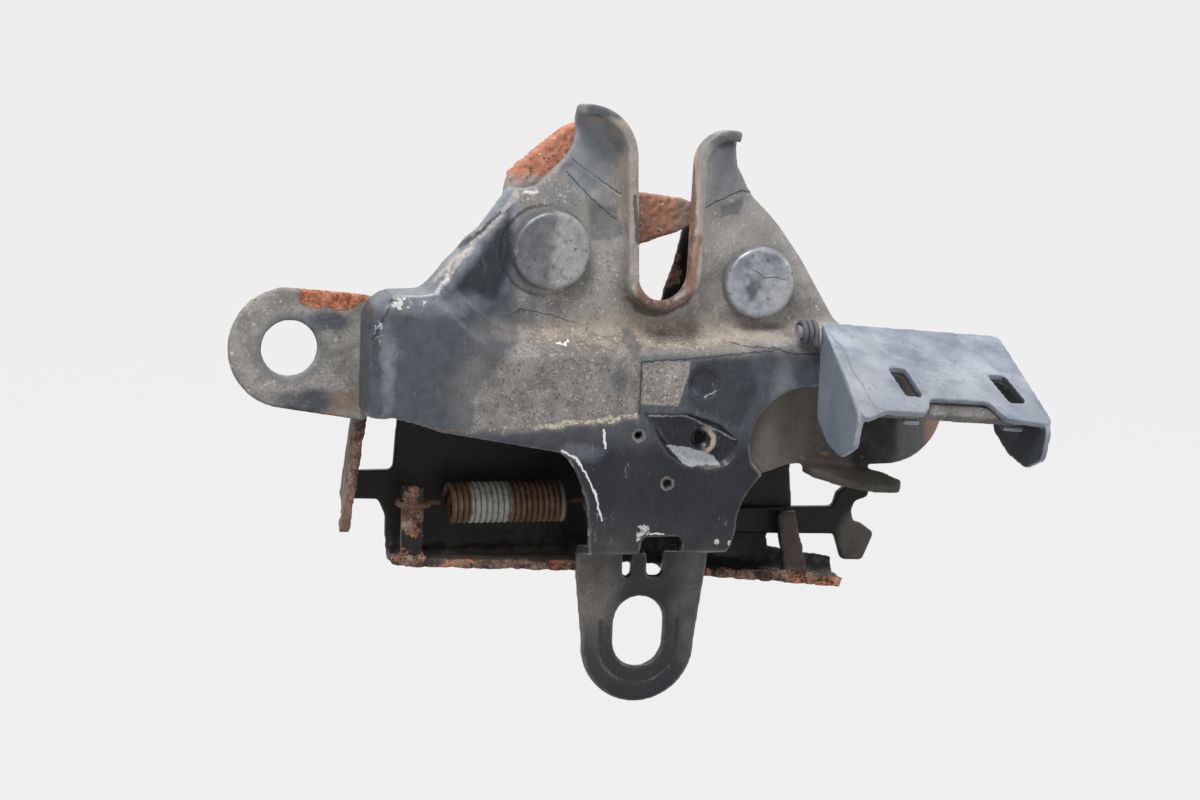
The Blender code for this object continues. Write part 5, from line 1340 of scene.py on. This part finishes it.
# %% [markdown]
# Springs are wire, and wire is a curve with a round section. A coil needs about two dozen points a turn
# to look round. The pawl's tension spring hangs by a ring on a tab at its left end, and its right end
# hooks into the pawl's arm.

# %% Springs


def wire_piece(title, solid, body, points, diameter):
    """A smooth tube of wire through the points, which replaces a solid."""
    curve = bpy.data.curves.new(title, "CURVE")
    curve.dimensions = "3D"
    line = curve.splines.new("POLY")
    line.points.add(len(points) - 1)
    for slot_point, point in zip(line.points, points):
        slot_point.co = (*point, 1)
    curve.bevel_depth = diameter / 2 * MM
    curve.bevel_resolution = 4
    curve.use_fill_caps = True
    rough_piece = bpy.data.objects.new(title + " line", curve)
    scene.collection.objects.link(rough_piece)
    graph = bpy.context.evaluated_depsgraph_get()
    mesh = bpy.data.meshes.new_from_object(rough_piece.evaluated_get(graph))
    bpy.data.objects.remove(rough_piece)
    mesh.name = title
    mesh.shade_smooth()
    mesh.materials.clear()
    mesh.materials.append(spring_wire)
    piece = bpy.data.objects.new(title, mesh)
    scene.collection.objects.link(piece)
    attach(piece, body)
    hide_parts(solid)
    print(title, len(mesh.polygons), "faces")


def helix(radius, pitch, turns, per_turn=24, start=0.0):
    """Points of a helix along X from the origin, in millimetres."""
    points = []
    for k in range(int(turns * per_turn) + 1):
        angle = start + 2 * math.pi * k / per_turn
        points.append(Vector((pitch * k / per_turn, radius * math.cos(angle), radius * math.sin(angle))))
    return points


def rounded_path(points, rounds=3):
    """The path with its corners cut again and again, which leaves a smooth bend."""
    for _ in range(rounds):
        result = [points[0]]
        for one, two in zip(points, points[1:]):
            result.append(one.lerp(two, 0.25))
            result.append(one.lerp(two, 0.75))
        points = result + [points[-1]]
    return points


WIRE = 1.3
CLEARANCE = 0.3
PULL_Y = 17.0
PULL_Z = -26.6
PULL_RADIUS = 4.8 - WIRE / 2
PULL_TURNS = 20
COILS_LEFT = -43.9
ANCHOR_LEFT = -52.1 - 2.5
EYE_RADIUS = 3.6
ARM_REACH = 61.4
ARM_ANGLE = math.radians(237.6)


def pulled(x, y=0.0, z=0.0):
    """A point beside the tension spring's axis."""
    return Vector((x, PULL_Y + y, PULL_Z + z))


coils = [pulled(COILS_LEFT) + p for p in helix(PULL_RADIUS, 1.34, PULL_TURNS)]
eye_x = ANCHOR_LEFT - CLEARANCE - WIRE / 2 + EYE_RADIUS
left_hook = []
for angle in np.radians(np.linspace(-150, 75, 12)):
    left_hook.append(pulled(eye_x - EYE_RADIUS * math.cos(angle), EYE_RADIUS * math.sin(angle)))
left_hook += [pulled(eye_x + EYE_RADIUS + 1.2, 1.0), pulled(COILS_LEFT - 2.2)]
left_hook += [pulled(COILS_LEFT - 1.0, PULL_RADIUS * 0.55)]
hook_x = PAWL_AXIS[0] + ARM_REACH * math.cos(ARM_ANGLE)
hook_z = PAWL_AXIS[1] + ARM_REACH * math.sin(ARM_ANGLE)
last_x = coils[-1].x
right_hook = [pulled(last_x + 1.0, PULL_RADIUS * 0.55), pulled(last_x + 2.2)]
for across, y in ((-1.6, PULL_Y), (-0.4, PULL_Y - 0.5), (0, PULL_Y - 1.7), (0, 10.2), (-0.6, 9.0)):
    right_hook.append(Vector((hook_x + across, y, hook_z)))
path = rounded_path(left_hook + [coils[0]], 2)[:-1] + coils
path += rounded_path([coils[-1]] + right_hook, 2)[1:]
wire_piece("pull_spring", "pawl_spring", "frame", [place(*p) for p in path], WIRE)

TWIST_RADIUS = 6.8
TWIST_TURNS = 1.5
TWIST_STEPS = 32
first_y = LEVER_FRONT + 0.1 + WIRE / 2
rise = REAR_PLATE - LEVER_FRONT - WIRE - 0.2
steps = int(TWIST_TURNS * TWIST_STEPS)
turns = []
for k in range(steps + 1):
    angle = math.radians(200) + 2 * math.pi * k / TWIST_STEPS
    across, upwards = TWIST_RADIUS * math.cos(angle), TWIST_RADIUS * math.sin(angle)
    turns.append(Vector((across, first_y + rise * k / steps, upwards)))
lead_in = [turns[0] + Vector((-3, 0, 8)), turns[0] + Vector((-1.2, 0, 3.5))]
lead_out = [turns[-1] + Vector((1.0, 0, 3.5)), turns[-1] + Vector((2.4, 0, 9))]
middle = Vector((CLAW_AXIS[0], 0, CLAW_AXIS[1]))
path = [place(*(p + middle)) for p in lead_in + turns + lead_out]
wire_piece("claw_twist_spring", "claw_spring", "frame", path, WIRE)

SMALL_PITCH = 1.3
SMALL_TURNS = 2.5
start = Vector((33.6 - SMALL_PITCH * SMALL_TURNS / 2, -1.2, 15.6))
small = [start + p for p in helix(2.2, SMALL_PITCH, SMALL_TURNS)]
small += [small[-1] + Vector((0, 0, -1.0)), small[-1] + Vector((0, 0, -2.6))]
wire_piece("cover_spring", "handle_spring", "handle_body", [place(*p) for p in small], 1.2)
print("springs wound")

# %% [markdown]
# The pin inside the small spring is a plain short rod in the solids. It hardly shows, so the solid
# itself stays and only gets the rivets' steel.

# %% Pin
pin = frame["nodes"]["handle_spring_pin"]
for k in range(len(pin.material_slots)):
    pin.material_slots[k].material = right_head_steel
print("pin dressed")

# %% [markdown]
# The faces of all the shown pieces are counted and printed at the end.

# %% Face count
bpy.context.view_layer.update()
total = sum(len(p.data.polygons) for p in bpy.data.objects if p.type == "MESH" and not p.hide_render)
print("faces in all:", total)
